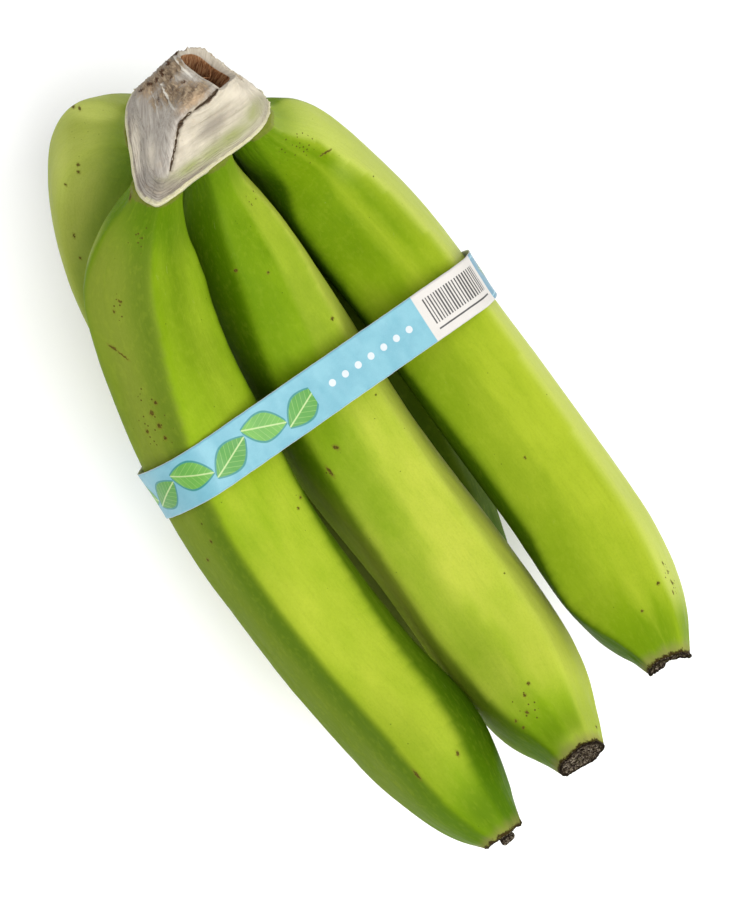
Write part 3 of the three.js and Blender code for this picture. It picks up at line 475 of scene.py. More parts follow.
def fruit_surface(name, seed, tones, deeps_and_shades, contact_shades, painted_light_shades, tip, spots):
    c = spine(SPINES[name])
    along, side, up = axes_along(c)
    s = arc_lengths(c)
    height = (c[:, :3] - np.array(CROWN_POINT)) @ np.array(CROWN_NORMAL) + 0.35
    cross = np.where((height[:-1] > 0) & (height[1:] <= 0))[0][0]
    start = s[cross] + (s[cross + 1] - s[cross]) * height[cross] / (height[cross] - height[cross + 1])
    tuck = min(1.8, start)                     # neck runs on into the crown
    x = np.linspace(0, 1, STATIONS)
    x = x - 0.075 * np.sin(2 * np.pi * x)
    at = start - tuck + (s[-1] - start + tuck) * x
    k = np.interp(at, s, np.arange(len(s)))
    i = np.minimum(k.astype(int), len(c) - 2)
    f = (k - i)[:, None]
    mix = lambda v: v[i] * (1 - f) + v[i + 1] * f
    p, A, B, T = mix(c), mix(side), mix(up), mix(along)
    share = k / (len(c) - 1)
    stops, rows = RIDGES[name]
    angles = np.stack([np.interp(share, stops, row) for row in rows], 1)
    flat = 0.70 * np.interp(share, [0, .08, .2, .9, 1], [.5, .7, 1, 1, .6])
    shape, gap = section_shapes(angles, flat, SIDES)
    th = np.radians(np.arange(SIDES) * 360.0 / SIDES)
    radius = p[:, 3:4] * shape
    from_neck = np.maximum(0, at - start)[:, None] + 0 * radius
    from_tip = (s[-1] - at)[:, None] + 0 * radius
    # straightened coordinates: round a mean circle, and along the fruit
    mean = 17.0
    skin = np.stack([mean * np.sin(th)[None, :] + 0 * radius,
                     mean * np.cos(th)[None, :] + 0 * radius,
                     at[:, None] + 0 * radius], -1)
    away = np.radians(gap) * radius            # distance to the nearest ridge, mm
    ridge = np.exp(-(away / 1.7) ** 2)
    lift = 0.26 * fbm(skin / [15, 15, 34], seed, 3) * ease(from_neck, 0, 12) * ease(from_tip, 0, 12)
    lift += 0.20 * ridge * (0.5 + 0.5 * noise3(skin / [6, 6, 22], seed + 5)) * ease(from_neck, 4, 30)
    # wrinkles that run out of the neck and into the blossom end
    neck = ease(from_neck, 20, 1)
    end = ease(from_tip, 22, 1)
    lift += neck * 0.17 * fbm(skin / [2.9, 2.9, 22], seed + 9, 2)
    lift += end * 0.10 * fbm(skin / [3.4, 3.4, 14], seed + 12, 2)
    lift += end * 0.12 * noise3(skin / [4.5, 4.5, 4], seed + 15)
    lift += 0.035 * fbm(skin / [1.9, 1.9, 4.0], seed + 21, 2)
    radius = radius + lift
    offset = (radius[..., None] * (np.sin(th)[None, :, None] * A[:, None] + np.cos(th)[None, :, None] * B[:, None]))
    w = 1 - np.clip((at - start) / 16.0, 0, 1)
    w = w * w * (3 - 2 * w)
    normal = np.array(CROWN_NORMAL)
    slide = -(offset @ normal) / (T @ normal)[:, None]
    points = p[:, None, :3] + offset + (w[:, None] * slide)[..., None] * T[:, None]
    # the blossom end is cut off a little aslant
    slant = tip["lean"] * ease(from_tip, 10, 0) * radius / radius[-1].mean() * np.cos(th - tip["toward"])[None, :]
    slant = slant + tip_wave(tip, th, seed)[None, :] * ease(from_tip, 6.5, 0)
    points = points + slant[..., None] * T[:, None]
    # tone per facet: painted shade where it is low, painted highlight where it is high
    tone = facet_tones(angles, tones, SIDES)
    # deep green on the flanks: the greener peel of the inner flanks, with painted shade
    deep = facet_tones(angles, deeps_and_shades[:5], SIDES)
    # painted shade: the darkest strip of the left flank runs beside its ridge
    beside = np.mod(np.degrees(th)[None, :] - angles[:, :1] + 180, 360) - 180
    beside = np.radians(beside) * radius
    deep = deep + deeps_and_shades[5] * ease(beside, 1.2, -1.6) * ease(beside, -11, -2.5)
    # painted shade near the other fruits
    near = closeness(name, points) * facet_tones(angles, contact_shades, SIDES)
    # painted highlight and shade across the main facet, from ridge 0 to ridge 1: yellower where lit, greener where
    # shaded
    width = np.mod(angles[:, 1:2] - angles[:, :1], 360)
    turned = np.mod(np.degrees(th)[None, :] - angles[:, :1] + 120, 360) - 120
    painted_light_shade = np.interp(turned / width, [-.35, 0, .25, .47, .66, .82, 1, 1.4], [0, *painted_light_shades, 0])
    painted_light_shade = painted_light_shade + 0.18 * fbm(skin / [14, 14, 30], seed + 77, 2) * (painted_light_shade != 0)
    # painted light and shade in given places, each set where it is seen from the front, and swellings of the peel
    across = np.roll(points, -1, 1) - np.roll(points, 1, 1)
    facing = np.cross(across, np.gradient(points, axis=0)) @ np.array(VIEW_BACK)
    outward = (offset @ np.array(VIEW_BACK)) * facing
    front = ease(np.where(outward.sum() > 0, facing, -facing) / np.maximum(np.abs(facing).max(1, keepdims=True), 1e-9), -.05, .10)
    V = points - np.array(VIEW_CENTRE)
    vx, vy, vz = V @ np.array(VIEW_RIGHT), V @ np.array(VIEW_UP), V @ np.array(VIEW_BACK)
    px, py = 370 + 3150 * vx / (900 - vz), 449 - 3150 * vy / (900 - vz)
    extra = {"near": 0 * tone, "painted_light_shade": 0 * tone, "tone": 0 * tone, "deep": 0 * tone, "swell": 0 * tone}
    for layer, cx, cy, rx, ry, lean, value in spots:
        a = np.radians(lean)
        u = (px - cx) * np.cos(a) + (py - cy) * np.sin(a)
        v = -(px - cx) * np.sin(a) + (py - cy) * np.cos(a)
        extra[layer] = extra[layer] + value * np.exp(-((u / rx) ** 2 + (v / ry) ** 2)) * (1 if layer == "swell" else front)
    near = np.clip(near + extra["near"], 0, 1.2)
    painted_light_shade, tone = painted_light_shade + extra["painted_light_shade"], tone + extra["tone"]
    deep = np.clip(deep + extra["deep"], 0, 1.1)
    points = points + extra["swell"][..., None] * offset / np.linalg.norm(offset, axis=2, keepdims=True)
    zero = 0 * tone
    layers = {"skin": skin, "ridge": ridge, "tone": tone, "from_neck": from_neck,
              "from_tip": from_tip, "scar": zero, "deep": deep, "near": near, "painted_light_shade": painted_light_shade}
    return points, layers, (p[-1], A[-1], B[-1], along[-1], radius[-1], th, skin[-1])


def tip_rings(end, tip, seed):
    """Rings of the dried blossom end, from the peel edge to the middle of the scar."""
    p, A, B, T, radius, th, skin = end
    spots = np.stack([np.sin(th), np.cos(th), 0 * th], -1)
    rings, scar, lip, pith = [], [], [], []
    for n, (r, h, rough) in enumerate(tip["profile"]):
        lip.append(np.full(len(th), tip["lip"][n] if n < len(tip["lip"]) else 0))
        pith.append(np.full(len(th), tip["pith"] * (max(0, 1 - (r / .42) ** 2) if n < 10 or tip["pith"] < 1 else .95 if r < .24 else .3)))
        level = spots * [r * 4.2, r * 4.2, 1] + [0, 0, n * 0.11]
        # ragged rim, fibrous middle
        jag = rough * (0.9 * fbm(spots * [2.1, 2.1, 1] + [0, 0, 0.05 * n], seed + 40, 3)
                       + 0.7 * fbm(level * 1.9, seed + 50, 3))
        wave = 1 + 0.05 * (rough > 0) * fbm(spots * 1.6 + [0, 0, n * 0.2], seed + 60, 2) * min(1, n / 2)
        q = radius * r * wave
        rise = h + jag + tip["lean"] * q / radius.mean() * np.cos(th - tip["toward"]) + tip_wave(tip, th, seed) * min(1, r) ** 2.5
        ring = p[:3] + q[:, None] * (np.sin(th)[:, None] * A + np.cos(th)[:, None] * B) + rise[:, None] * T
        rings.append(ring)
        scar.append(np.full(len(th), min(1, (n + 0.4) / 2.2)))
    return np.array(rings), np.array(scar), np.array(lip), np.array(pith)


def build_fruit(name, seed, tones, deeps_and_shades, contact_shades, painted_light_shades, tip, spots):
    points, layers, end = fruit_surface(name, seed, tones, deeps_and_shades, contact_shades, painted_light_shades, tip, spots)
    caps, scar, lip, pith = tip_rings(end, tip, seed)
    n = len(caps)
    grid = np.concatenate([points, caps])
    rows, sides = grid.shape[:2]
    layers["lip"] = np.concatenate([layers["scar"], lip])
    layers["pith"] = np.concatenate([layers["scar"], pith])
    layers["scar"] = np.concatenate([layers["scar"], scar])
    layers["skin"] = np.concatenate([layers["skin"], layers["skin"][-1:] * (1 - 0.09 * np.arange(1, n + 1))[:, None, None]
                                     + np.array([0, 0, 1.0]) * (0.4 * np.arange(1, n + 1))[:, None, None]])
    for key in ("ridge", "tone", "from_neck", "deep", "near", "painted_light_shade"):
        layers[key] = np.concatenate([layers[key], np.repeat(layers[key][-1:], n, 0)])
    layers["from_tip"] = np.concatenate([layers["from_tip"], np.zeros((n, sides))])
    faces = grid_faces(rows, sides)
    flat = grid.reshape(-1, 3)
    first, last = len(flat), len(flat) + 1
    flat = np.vstack([flat, grid[0].mean(0), grid[-1].mean(0)])
    for j in range(sides):
        q = (j + 1) % sides
        faces.append([first, j, q])
        faces.append([last, (rows - 1) * sides + q, (rows - 1) * sides + j])
    attributes = {}
    for key, value in layers.items():
        value = value.reshape(rows * sides, -1)
        value = np.vstack([value, value[:sides].mean(0), value[-sides:].mean(0)])
        attributes[key] = value if value.shape[1] == 3 else value[:, 0]
    if signed_volume(flat, faces[:: 1]) < 0:
        faces = [f[::-1] for f in faces]
    return make_mesh(name + "_peel", flat, faces, attributes)


# what each blossom end is like: (radius share, height in mm, roughness in mm)
BROAD_SCAR = [(1.0, 0.25, .08), (1.01, 0.55, .16), (.99, .85, .24), (.95, .95, .30),
              (.90, .65, .34), (.83, .15, .36), (.74, -.10, .40), (.64, -.05, .46), (.53, .15, .50),
              (.42, .25, .50), (.30, .15, .46), (.18, .25, .40), (.08, .3, .3)]
NUB_SCAR = [(1.0, .2, .08), (1.0, .45, .16), (.95, .55, .22), (.88, .4, .24), (.80, .1, .26), (.68, -.1, .26),
            (.56, -.1, .24), (.44, .1, .18), (.34, .5, .12), (.31, 1.1, .12), (.34, 1.7, .14), (.36, 2.3, .14),
            (.34, 2.8, .14), (.27, 3.2, .12), (.17, 3.3, .12), (.07, 3.25, .1)]
HOLLOW_SCAR = [(1.0, 0.25, .08), (1.01, 0.6, .20), (.99, .95, .32), (.95, 1.0, .38), (.89, .5, .42),
               (.81, -.2, .42), (.71, -.7, .44), (.60, -.8, .48), (.50, -.4, .52), (.40, .0, .50),
               (.29, -.3, .40), (.18, -.6, .35), (.08, -.5, .2)]
RIM_DARK = [.2, .7, 1, 1, .7, .2]

FRUITS = {
    # seed; for each facet (ridge k to k + 1) its tone, as painted shade or highlight, its depth of green with painted
    # shade (last
    # value: beside ridge 0) and how much painted shade a neighbour casts on it; painted
    # light and shade across the main facet, yellower or greener; blossom end; painted light
    # and shade in places, and swellings (layer, x, y, two radii, turn, value)
    "banana_front_left": (11, [.25, -.05, -.35, -.2, -.95], [0, 1.0, .5, .4, .2, .5], [.25, 1, 1, 1, .7],
                          [-.15, 0, .15, .25, .1, -.1],
                          dict(profile=NUB_SCAR, lip=RIM_DARK + [0, .4, .9, 1.0, .35], pith=1.0, lean=1.5, toward=0, wave=.25, skew=.9),
                          [("tone", 97, 225, 9, 62, 20, 1.25), ("tone", 118, 395, 10, 90, -18, .35),
                           ("near", 178, 235, 22, 46, 0, .45), ("near", 158, 226, 20, 18, 0, .5), ("painted_light_shade", 425, 752, 30, 62, -36, -.6),
                           ("near", 465, 705, 16, 60, -33, .55), ("near", 449, 690, 12, 48, -36, .6), ("near", 490, 770, 14, 40, -24, .7),
                           ("near", 488, 812, 26, 22, 45, .65), ("swell", 197, 251, 10, 13, -18, .6),
                           ("painted_light_shade", 485, 805, 26, 24, 45, -.5)]),
    "banana_front_centre": (23, [.15, .9, -.2, -.3, -.25], [0, 0, .5, .6, .85, .1], [.15, .05, 1, 1, 1],
                            [-.55, -.5, -.2, .4, .4, .35],
                            dict(profile=BROAD_SCAR, lip=RIM_DARK, pith=.25, lean=2.5, toward=0, wave=.1, skew=0),
                            [("painted_light_shade", 582, 648, 26, 34, -30, .4), ("painted_light_shade", 560, 600, 18, 40, -33, .25), ("painted_light_shade", 580, 702, 20, 22, -20, -.5),
                             ("tone", 574, 738, 22, 9, -30, .4), ("deep", 412, 612, 16, 140, -36.5, -.7),
                             ("near", 412, 612, 16, 140, -36.5, -1.1), ("painted_light_shade", 412, 612, 13, 130, -36.5, .15),
                             ("near", 525, 742, 30, 12, 36, .35), ("near", 206, 204, 12, 20, -8, .6),
                             ("swell", 446, 676, 14, 46, -37, 2.0)]),
    "banana_front_right": (37, [.1, .95, .2, -.2, -.15], [0, 0, .4, .6, .95, .1], [.25, 0, 1, 1, 1],
                           [-.5, -.42, -.30, .5, -.05, .55],
                           dict(profile=HOLLOW_SCAR, lip=RIM_DARK, pith=.2, lean=1.2, toward=0, wave=.8, skew=0),
                           [("near", 286, 172, 20, 11, -8, -.55), ("tone", 368, 140, 16, 60, -47, .35),
                            ("painted_light_shade", 638, 596, 24, 36, -33, .7), ("painted_light_shade", 300, 128, 20, 18, -20, .3), ("tone", 683, 628, 15, 36, -12, -.75),
                            ("painted_light_shade", 672, 620, 24, 40, -15, -.55), ("tone", 314, 140, 14, 16, -40, -.3), ("tone", 344, 170, 14, 18, -40, .25)]),
    "banana_back_left": (51, [0, -.1, -.3, -.2, .1], [0, .5, .5, .3, 0, 0], [1, 1, 1, 1, 1],
                         [0, 0, .1, .1, .1, 0],
                         dict(profile=BROAD_SCAR, lip=RIM_DARK, pith=.5, lean=.5, toward=2, wave=.3, skew=0),
                         [("near", 132, 165, 30, 46, 0, 1.0), ("near", 100, 225, 15, 48, 22, .7),
                          ("near", 84, 300, 9, 40, -5, .5), ("tone", 60, 165, 12, 60, 0, .5), ("tone", 104, 106, 34, 13, 0, 1.6),
                          ("near", 104, 106, 28, 11, 0, -.6)]),
    "banana_back_right": (67, [-.1, -.2, .1, -.2, -.1], [.95, .5, .3, .4, .95, 0], [1, 1, 1, 1, 1],
                          [0, 0, 0, 0, 0, 0],
                          dict(profile=HOLLOW_SCAR, lip=RIM_DARK, pith=.4, lean=.4, toward=1, wave=.5, skew=0), []),
}


# -------------------------------------------------------------------- crown
def closed_spline(ring, per):
    """Catmull-Rom curve round a closed ring of points, per samples a step."""
    p0, p1 = np.roll(ring, 1, 0), ring
    p2, p3 = np.roll(ring, -1, 0), np.roll(ring, -2, 0)
    u = (np.arange(per) / per)[None, :, None]
    p0, p1, p2, p3 = (q[:, None] for q in (p0, p1, p2, p3))
    out = 0.5 * (2 * p1 + (p2 - p0) * u + (2 * p0 - 5 * p1 + 4 * p2 - p3) * u ** 2
                 + (3 * p1 - p0 - 3 * p2 + p3) * u ** 3)
    return out.reshape(-1, 3)


def loft(rings, knots, h):
    """Smooth surface through rings at knots, sampled at h."""
    rings, knots = np.asarray(rings, float), np.asarray(knots, float)
    d = np.diff(knots)
    slope = np.diff(rings, axis=0) / d[:, None, None]
    m = np.zeros_like(rings)
    m[0], m[-1] = slope[0], slope[-1]
    a, b = d[:-1, None, None], d[1:, None, None]
    m[1:-1] = (slope[:-1] * b + slope[1:] * a) / (a + b)
    i = np.clip(np.searchsorted(knots, h, side="right") - 1, 0, len(knots) - 2)
    step = d[i][:, None, None]
    u = ((h - knots[i]) / d[i])[:, None, None]
    return ((2 * u ** 3 - 3 * u ** 2 + 1) * rings[i] + (u ** 3 - 2 * u ** 2 + u) * step * m[i]
            + (-2 * u ** 3 + 3 * u ** 2) * rings[i + 1] + (u ** 3 - u ** 2) * step * m[i + 1])


def grid_normals(P):
    """Outward-ish normals of a grid closed along its second axis."""
    du = np.roll(P, -1, 1) - np.roll(P, 1, 1)
    dv = np.gradient(P, axis=0)
    n = np.cross(du, dv)
    n /= np.maximum(np.linalg.norm(n, axis=-1), 1e-9)[..., None]
    centre = P.mean(1, keepdims=True)
    if ((P - centre) * n).sum() < 0:
        n = -n
    return n


def bump_at(x, centre, width):
    return np.exp(-((x - centre) / width) ** 2)


def build_crown():
    per = 22
    rows = 140
    rings = [closed_spline(np.array(r), per) for r in CROWN_RINGS]
    h = np.linspace(0, 1, rows)
    P = loft(rings, [0, .15, .33, .66, 1], h)
    count = P.shape[1]
    phi = np.arange(count) / per                       # 0..24 round the crown
    turn = phi * np.pi / 12
    H, PHI = np.meshgrid(h, phi, indexing="ij")
    N = grid_normals(P)
    # distances along the surface, mm
    rise = np.concatenate([np.zeros((1, count)), np.cumsum(np.linalg.norm(np.diff(P, axis=0), axis=-1), 0)])
    step = np.linalg.norm(np.roll(P, -1, 1) - P, axis=-1)
    round_ = np.concatenate([np.zeros((rows, 1)), np.cumsum(step, 1)[:, :-1]], 1)
    whole = step.sum(1)[:, None]
    lateral = np.where(PHI < 12, round_, round_ - whole)   # + to the left of the fold, - to its right
    left = ease(PHI, .2, 1.2) * ease(PHI, 9.5, 8)          # grey facet
    right = ease(PHI, 18.5, 20) * (1 - ease(PHI, 23.8, 24)) # cream facet
    behind = ease(PHI, 8, 9.5) * ease(PHI, 20, 18.5)
    grain = np.stack([15 * np.sin(turn)[None, :] + 0 * H, 15 * np.cos(turn)[None, :] + 0 * H, rise], -1)
    # fibres: on the grey facet they fan down from a point above it, on the
    # cream one and round the rim they run along the rim
    V = P - np.array(VIEW_CENTRE)
    vx, vy, vz = V @ np.array(VIEW_RIGHT), V @ np.array(VIEW_UP), V @ np.array(VIEW_BACK)
    swing = np.arctan2(vx + 62.1, 110.4 - vy)
    fanned = np.stack([22 * swing, .35 * vz, np.hypot(vx + 62.1, 110.4 - vy)], -1)
    rimwise = np.stack([rise * 1.0, 40 + 0 * rise, lateral * .8], -1)
    low_down = (1 - ease(rise, 4.5, 9.5))[..., None]
    on_left, on_right = left[..., None], np.clip(right + ease(PHI, 23.5, 24) * (PHI > 20), 0, 1)[..., None]
    fan = fanned * (1 - low_down) + rimwise * low_down
    fan = grain * (1 - np.clip(on_left + on_right + (PHI < 1)[..., None], 0, 1)) + fan * np.clip(on_left + (PHI < 1)[..., None], 0, 1) + rimwise * on_right * (PHI > 12)[..., None]
    # where each point lies as the crown is looked at from above
    front = ease(N @ np.array(VIEW_BACK), -.05, .22)
    px, py = 370 + 3150 * vx / (900 - vz), 449 - 3150 * vy / (900 - vz)
    flat = np.stack([px, py], -1)

    def drawn(line, width=None):
        """Distance to a drawn line, its width there, and + on its right."""
        best = np.full(px.shape, 1e9)
        wide, side = np.zeros(px.shape), np.zeros(px.shape)
        line = np.asarray(line, float)
        width = np.ones(len(line)) if width is None else np.asarray(width, float)
        for k in range(len(line) - 1):
            a, b = line[k], line[k + 1]
            ab = b - a
            t = np.clip(((flat - a) @ ab) / (ab @ ab), 0, 1)
            q = flat - a - t[..., None] * ab
            d = np.linalg.norm(q, axis=-1)
            near = d < best
            best = np.where(near, d, best)
            wide = np.where(near, width[k] + t * (width[k + 1] - width[k]), wide)
            side = np.where(near, np.sign(ab[1] * q[..., 0] - ab[0] * q[..., 1]), side)
        return best, wide, side

    def blobs(rows):
        total = np.zeros(px.shape)
        for cx, cy, rx, ry, angle, value in rows:
            a = np.radians(angle)
            x = (px - cx) * np.cos(a) + (py - cy) * np.sin(a)
            y = -(px - cx) * np.sin(a) + (py - cy) * np.cos(a)
            total = np.maximum(total, value * np.exp(-((x / rx) ** 2 + (y / ry) ** 2)))
        return total * front

    shake = 1.1 * fbm(P / 1.3, 91, 2)
    D = 0.22 * fbm(P / 7.0, 3, 3)
    D += (0.20 * left + 0.10 * right + 0.22 * behind) * fbm(fan / [1.25, 1.25, 13], 7, 3)
    D += (0.20 * left + 0.06 * right + 0.16 * behind) * fbm(fan / [.5, .5, 6], 8, 2)
    # a few strong pleats in the upper grey facet and on the hidden side
    pleat = 1 - 2 * np.abs(noise3(fan / [2.6, 2.6, 40], 12))
    D += (0.30 * left * ease(H, .30, .6) + 0.25 * behind) * np.clip(pleat, -1, 1)
    # crumbled fibrous patch high on the grey facet
    patch = np.clip(blobs([(150, 86, 17, 10, -38, 1), (165, 76, 14, 12, -38, 1.1), (176, 66, 10, 10, -38, 1.1),
                           (172, 92, 18, 15, -30, 1), (190, 95, 18, 13, -40, 1.1), (200, 90, 11, 10, -40, 1),
                           (156, 102, 10, 13, 80, .65)]), 0, 1)
    D += patch * (0.34 * fbm(P / 1.5, 61, 3) + 0.22 * fbm(P / [.7, .7, .7], 63, 2))
    # dried layers round the rim
    wander = 0.35 * fbm(grain / [5, 5, 9], 15, 2)
    layered = 0.30 + 0.70 * np.clip(ease(PHI, 7.5, 5) + ease(PHI, 19.5, 22.5), 0, 1)
    layers = 0 * H
    for k, (depth, size) in enumerate([(1.5, .30), (2.5, .30), (3.5, .28), (4.6, .26), (5.9, .22), (7.4, .16)]):
        away = rise - depth - wander * (1 + .2 * k) - 0.22 * k * noise3(grain / [3, 3, 50], 70 + k)
        layers += size * (bump_at(away, 0, .16) - 0.45 * bump_at(away, .40, .28))
    D -= layers * layered
    # rolled rim
    D += 0.42 * bump_at(rise, .55, .60) - 0.26 * bump_at(rise, 1.6, .38)
    # fold where the cream sheet laps over the grey one, ragged and open at its top
    away, wide, side = drawn([(219, 87), (214, 94), (208, 100), (199, 107), (188, 115), (181, 122), (178, 131),
                              (176, 146), (173, 160), (171, 172)], [.8, 2.8, 2.3, 1.0, .7, 2.2, 1.0, .6, .8, .6])
    away = away + shake * 0.9
    slit = np.exp(-(np.abs(away) / wide) ** 2) * front
    D -= 0.85 * slit
    D += front * np.where(side > 0, 0.55 * np.exp(-(away / 11) ** 2) * ease(away, .3, 2.2),
                          -0.30 * np.exp(-(away / 7) ** 2)) * ease(py, 182, 168) * ease(py, 78, 92)
    # thin pale ridges: along the mouth, and slanting down the grey facet
    crest = np.exp(-((drawn([(175, 57), (181, 65), (188, 73), (196, 80)])[0] + .5 * shake) / .85) ** 2) * front
    slope = np.exp(-((drawn([(163, 84), (167, 93), (171, 103), (175, 110)])[0] + .6 * shake) / .8) ** 2) * front
    slope = np.maximum(slope, .6 * np.exp(-((drawn([(152, 92), (158, 110), (163, 128)])[0] + .8 * shake) / .6) ** 2) * front)
    D += 0.55 * crest + 0.50 * slope
    # frayed edge of the mouth
    D += 0.25 * ease(H, .93, 1) * fbm(P / 1.6, 19, 2)
    P = P + D[..., None] * N
    masks = {
        "brown": np.clip(patch + .55 * behind * ease(H, .5, .95) + .4 * (1 - front) * left * ease(H, .5, .9), 0, 1),
        "tan": np.clip(blobs([(197, 98, 11, 5, -38, 1), (184, 108, 9, 4, -38, .8), (148, 92, 7, 5, -38, .5),
                              (187, 83, 5, 5, 0, .35)]), 0, 1),
        "dark": np.clip(blobs([(163, 73, 2.6, 4.2, 10, .9), (157, 80, 2, 3.5, 0, .8), (150, 84, 3, 1.8, -38, .7),
                               (141, 90, 4, 1.6, -30, .7), (184, 82, 3.6, 2.6, 0, .55), (179, 90, 2.6, 2, 20, .5),
                               (169, 64, 3.5, 2.4, -38, .75), (177, 53.5, 3.4, 1.8, -15, .9), (172, 78, 2, 4, 15, .5),
                               (209, 99, 6, 2.6, -52, .9), (202, 53.5, 4.5, 1.3, 25, .8), (225, 70, 6, 1.6, 30, .75),
                               (240, 80, 8, .7, 30, .45), (181, 124, 2.4, 3.4, 20, .8), (159, 97, 1.6, 9, -6, .5),
                               (167, 158, 3, 2, 0, .35)]), 0, 1),
        # painted light and shade: lighter and darker patches where the crown is seen from the front
        "shade": np.clip(.5 + front * (0
                         - .40 * np.exp(-(((px - 213) * .79 + (py - 125) * -.62) / 24) ** 2
                                        - (((px - 213) * .62 + (py - 125) * .79) / 8) ** 2)
                         + .22 * np.exp(-((px - 188) / 7) ** 2 - ((py - 144) / 17) ** 2)
                         + .30 * np.exp(-((px - 232) / 20) ** 2 - ((py - 94) / 9) ** 2)
                         + .22 * np.exp(-((px - 217) / 8) ** 2 - ((py - 108) / 6) ** 2)
                         + .50 * np.exp(-((px - 135) / 6) ** 2 - ((py - 152) / 36) ** 2)
                         + .30 * np.exp(-((px - 151) / 7) ** 2 - ((py - 155) / 20) ** 2)
                         - .62 * np.exp(-((px - 166) / 17) ** 2 - ((py - 189) / 12) ** 2)
                         - .60 * np.exp(-(((px - 200) * .84 + (py - 174) * -.54) / 24) ** 2
                                        - (((px - 200) * .54 + (py - 174) * .84) / 7) ** 2)
                         + .60 * np.exp(-(((px - 228) * .80 + (py - 67) * .60) / 28) ** 2
                                        - (((px - 228) * -.60 + (py - 67) * .80) / 6) ** 2)
                         + .35 * np.exp(-((px - 256) / 9) ** 2 - ((py - 90) / 7) ** 2)
                         - .20 * np.exp(-((px - 206) / 10) ** 2 - ((py - 86) / 5) ** 2)), 0, 1),
        # green: painted reflection of the fruit under the cream sheet's rim; the crown's own green on its hidden side
        "green": np.clip(blobs([(224, 143, 38, 7.0, -38, 1.15), (254, 112, 8, 15, 24, 1.0), (190, 167, 22, 6, -32, 1.0),
                                (243, 122, 12, 5, -45, .5), (168, 180, 12, 3, 0, .35)])
                         + .45 * (1 - front) * bump_at(rise, 3.4, 2.2), 0, 1),
        "cream": np.clip(right + behind * ease(PHI, 12, 14) * .8, 0, 1),
        "rim": ease(rise + .25 * fbm(P / 1.4, 33, 2) + .55 * (PHI > 1.5) * (PHI < 18), 1.75, 1.15),
        "fold": np.clip(np.exp(-(np.abs(away) / (wide * .9)) ** 2) * front, 0, 1),
        "pale": np.clip(crest + slope, 0, 1),
        "rise": rise,
        "layered": layered,
        "hollow": 0 * H,
    }

    # underside: tucked in and filled out between the necks
    normal = np.array(CROWN_NORMAL)
    rim, low = P[0], P[0].mean(0)
    under = []
    for share, drop in [(.985, .75), (.955, 1.3), (.88, 1.7), (.76, 3.2), (.60, 4.6), (.42, 5.4), (.22, 5.7)]:
        ring = low + (rim - low) * share
        level = 0.0 * ring[:, :1] + ((rim - np.array(CROWN_POINT)) @ normal)[:, None]
        ring = ring - normal * drop
        ring = ring - normal * (0.35 * fbm(ring / 3.0, 23, 2) * (share < .95))[:, None]
        under.append(ring)
    under = np.array(under[::-1])

    # mouth, hollow and its floor
    hole = closed_spline(np.array(CROWN_HOLE), per)
    mouth = P[-1]
    high = hole.mean(0)
    down = (low - high) / np.linalg.norm(low - high)
    inner, inside = [], []
    for share, drop, deep in [(.30, -.05, .0), (.72, -.03, .05), (1, .10, .30)]:
        ring = mouth + (hole - mouth) * share - down * -drop
        ring = ring + (0.12 * fbm(ring / 1.1, 29, 2))[:, None] * down
        inner.append(ring)
        inside.append(deep)
    for shrink, drop in [(.99, .9), (.97, 1.7), (.95, 2.7), (.92, 3.8), (.88, 5.0), (.84, 6.2), (.79, 7.4),
                         (.73, 8.5), (.65, 9.5), (.54, 10.3), (.40, 10.8), (.22, 11.1)]:
        ring = high + (hole - high) * shrink + down * drop
        q = ring - ring.mean(0)
        q /= np.maximum(np.linalg.norm(q, axis=1), 1e-6)[:, None]
        rough = 0.42 * fbm(ring / [1.7, 1.7, 3.2], 31, 3) + 0.22 * noise3(grain[0] / [.8, .8, 1] + [0, 0, drop / 5], 35)
        ring = ring + q * rough[:, None] * min(1, drop / 1.5)
        inner.append(ring)
        inside.append(1.0)
    inner = np.array(inner)
    grid = np.concatenate([under, P, inner])
    total = len(grid)
    attributes = {}
    for key, value in masks.items():
        top = np.zeros((len(inner), count))
        bottom = np.zeros((len(under), count))
        if key == "hollow":
            top = np.array(inside)[:, None] + top
        if key == "green":
            bottom += .9
        if key == "rim":
            bottom[-1] += .8
        if key == "cream":
            top[:3] = .6
        if key == "rise":
            top += 30.0
        if key == "shade":
            top += .5
            bottom += .5
        attributes[key] = np.concatenate([bottom, value, top]).ravel()
    g_low = np.repeat(grain[:1], len(under), 0) * np.linspace(.25, 1, len(under))[:, None, None]
    g_top = np.repeat(grain[-1:], len(inner), 0)
    g_top[..., 2] += np.linspace(.3, 12, len(inner))[:, None]
    attributes["grain"] = np.concatenate([g_low, fan, g_top]).reshape(-1, 3)
    points = grid.reshape(-1, 3)
    faces = grid_faces(total, count)
    first, last = len(points), len(points) + 1
    points = np.vstack([points, grid[0].mean(0), grid[-1].mean(0)])
    for j in range(count):
        q = (j + 1) % count
        faces.append([first, j, q])
        faces.append([last, (total - 1) * count + q, (total - 1) * count + j])
    if signed_volume(points, faces) < 0:
        faces = [f[::-1] for f in faces]
    for key, value in attributes.items():
        pad = np.array([value[0], value[-1]])
        attributes[key] = np.concatenate([value, pad])

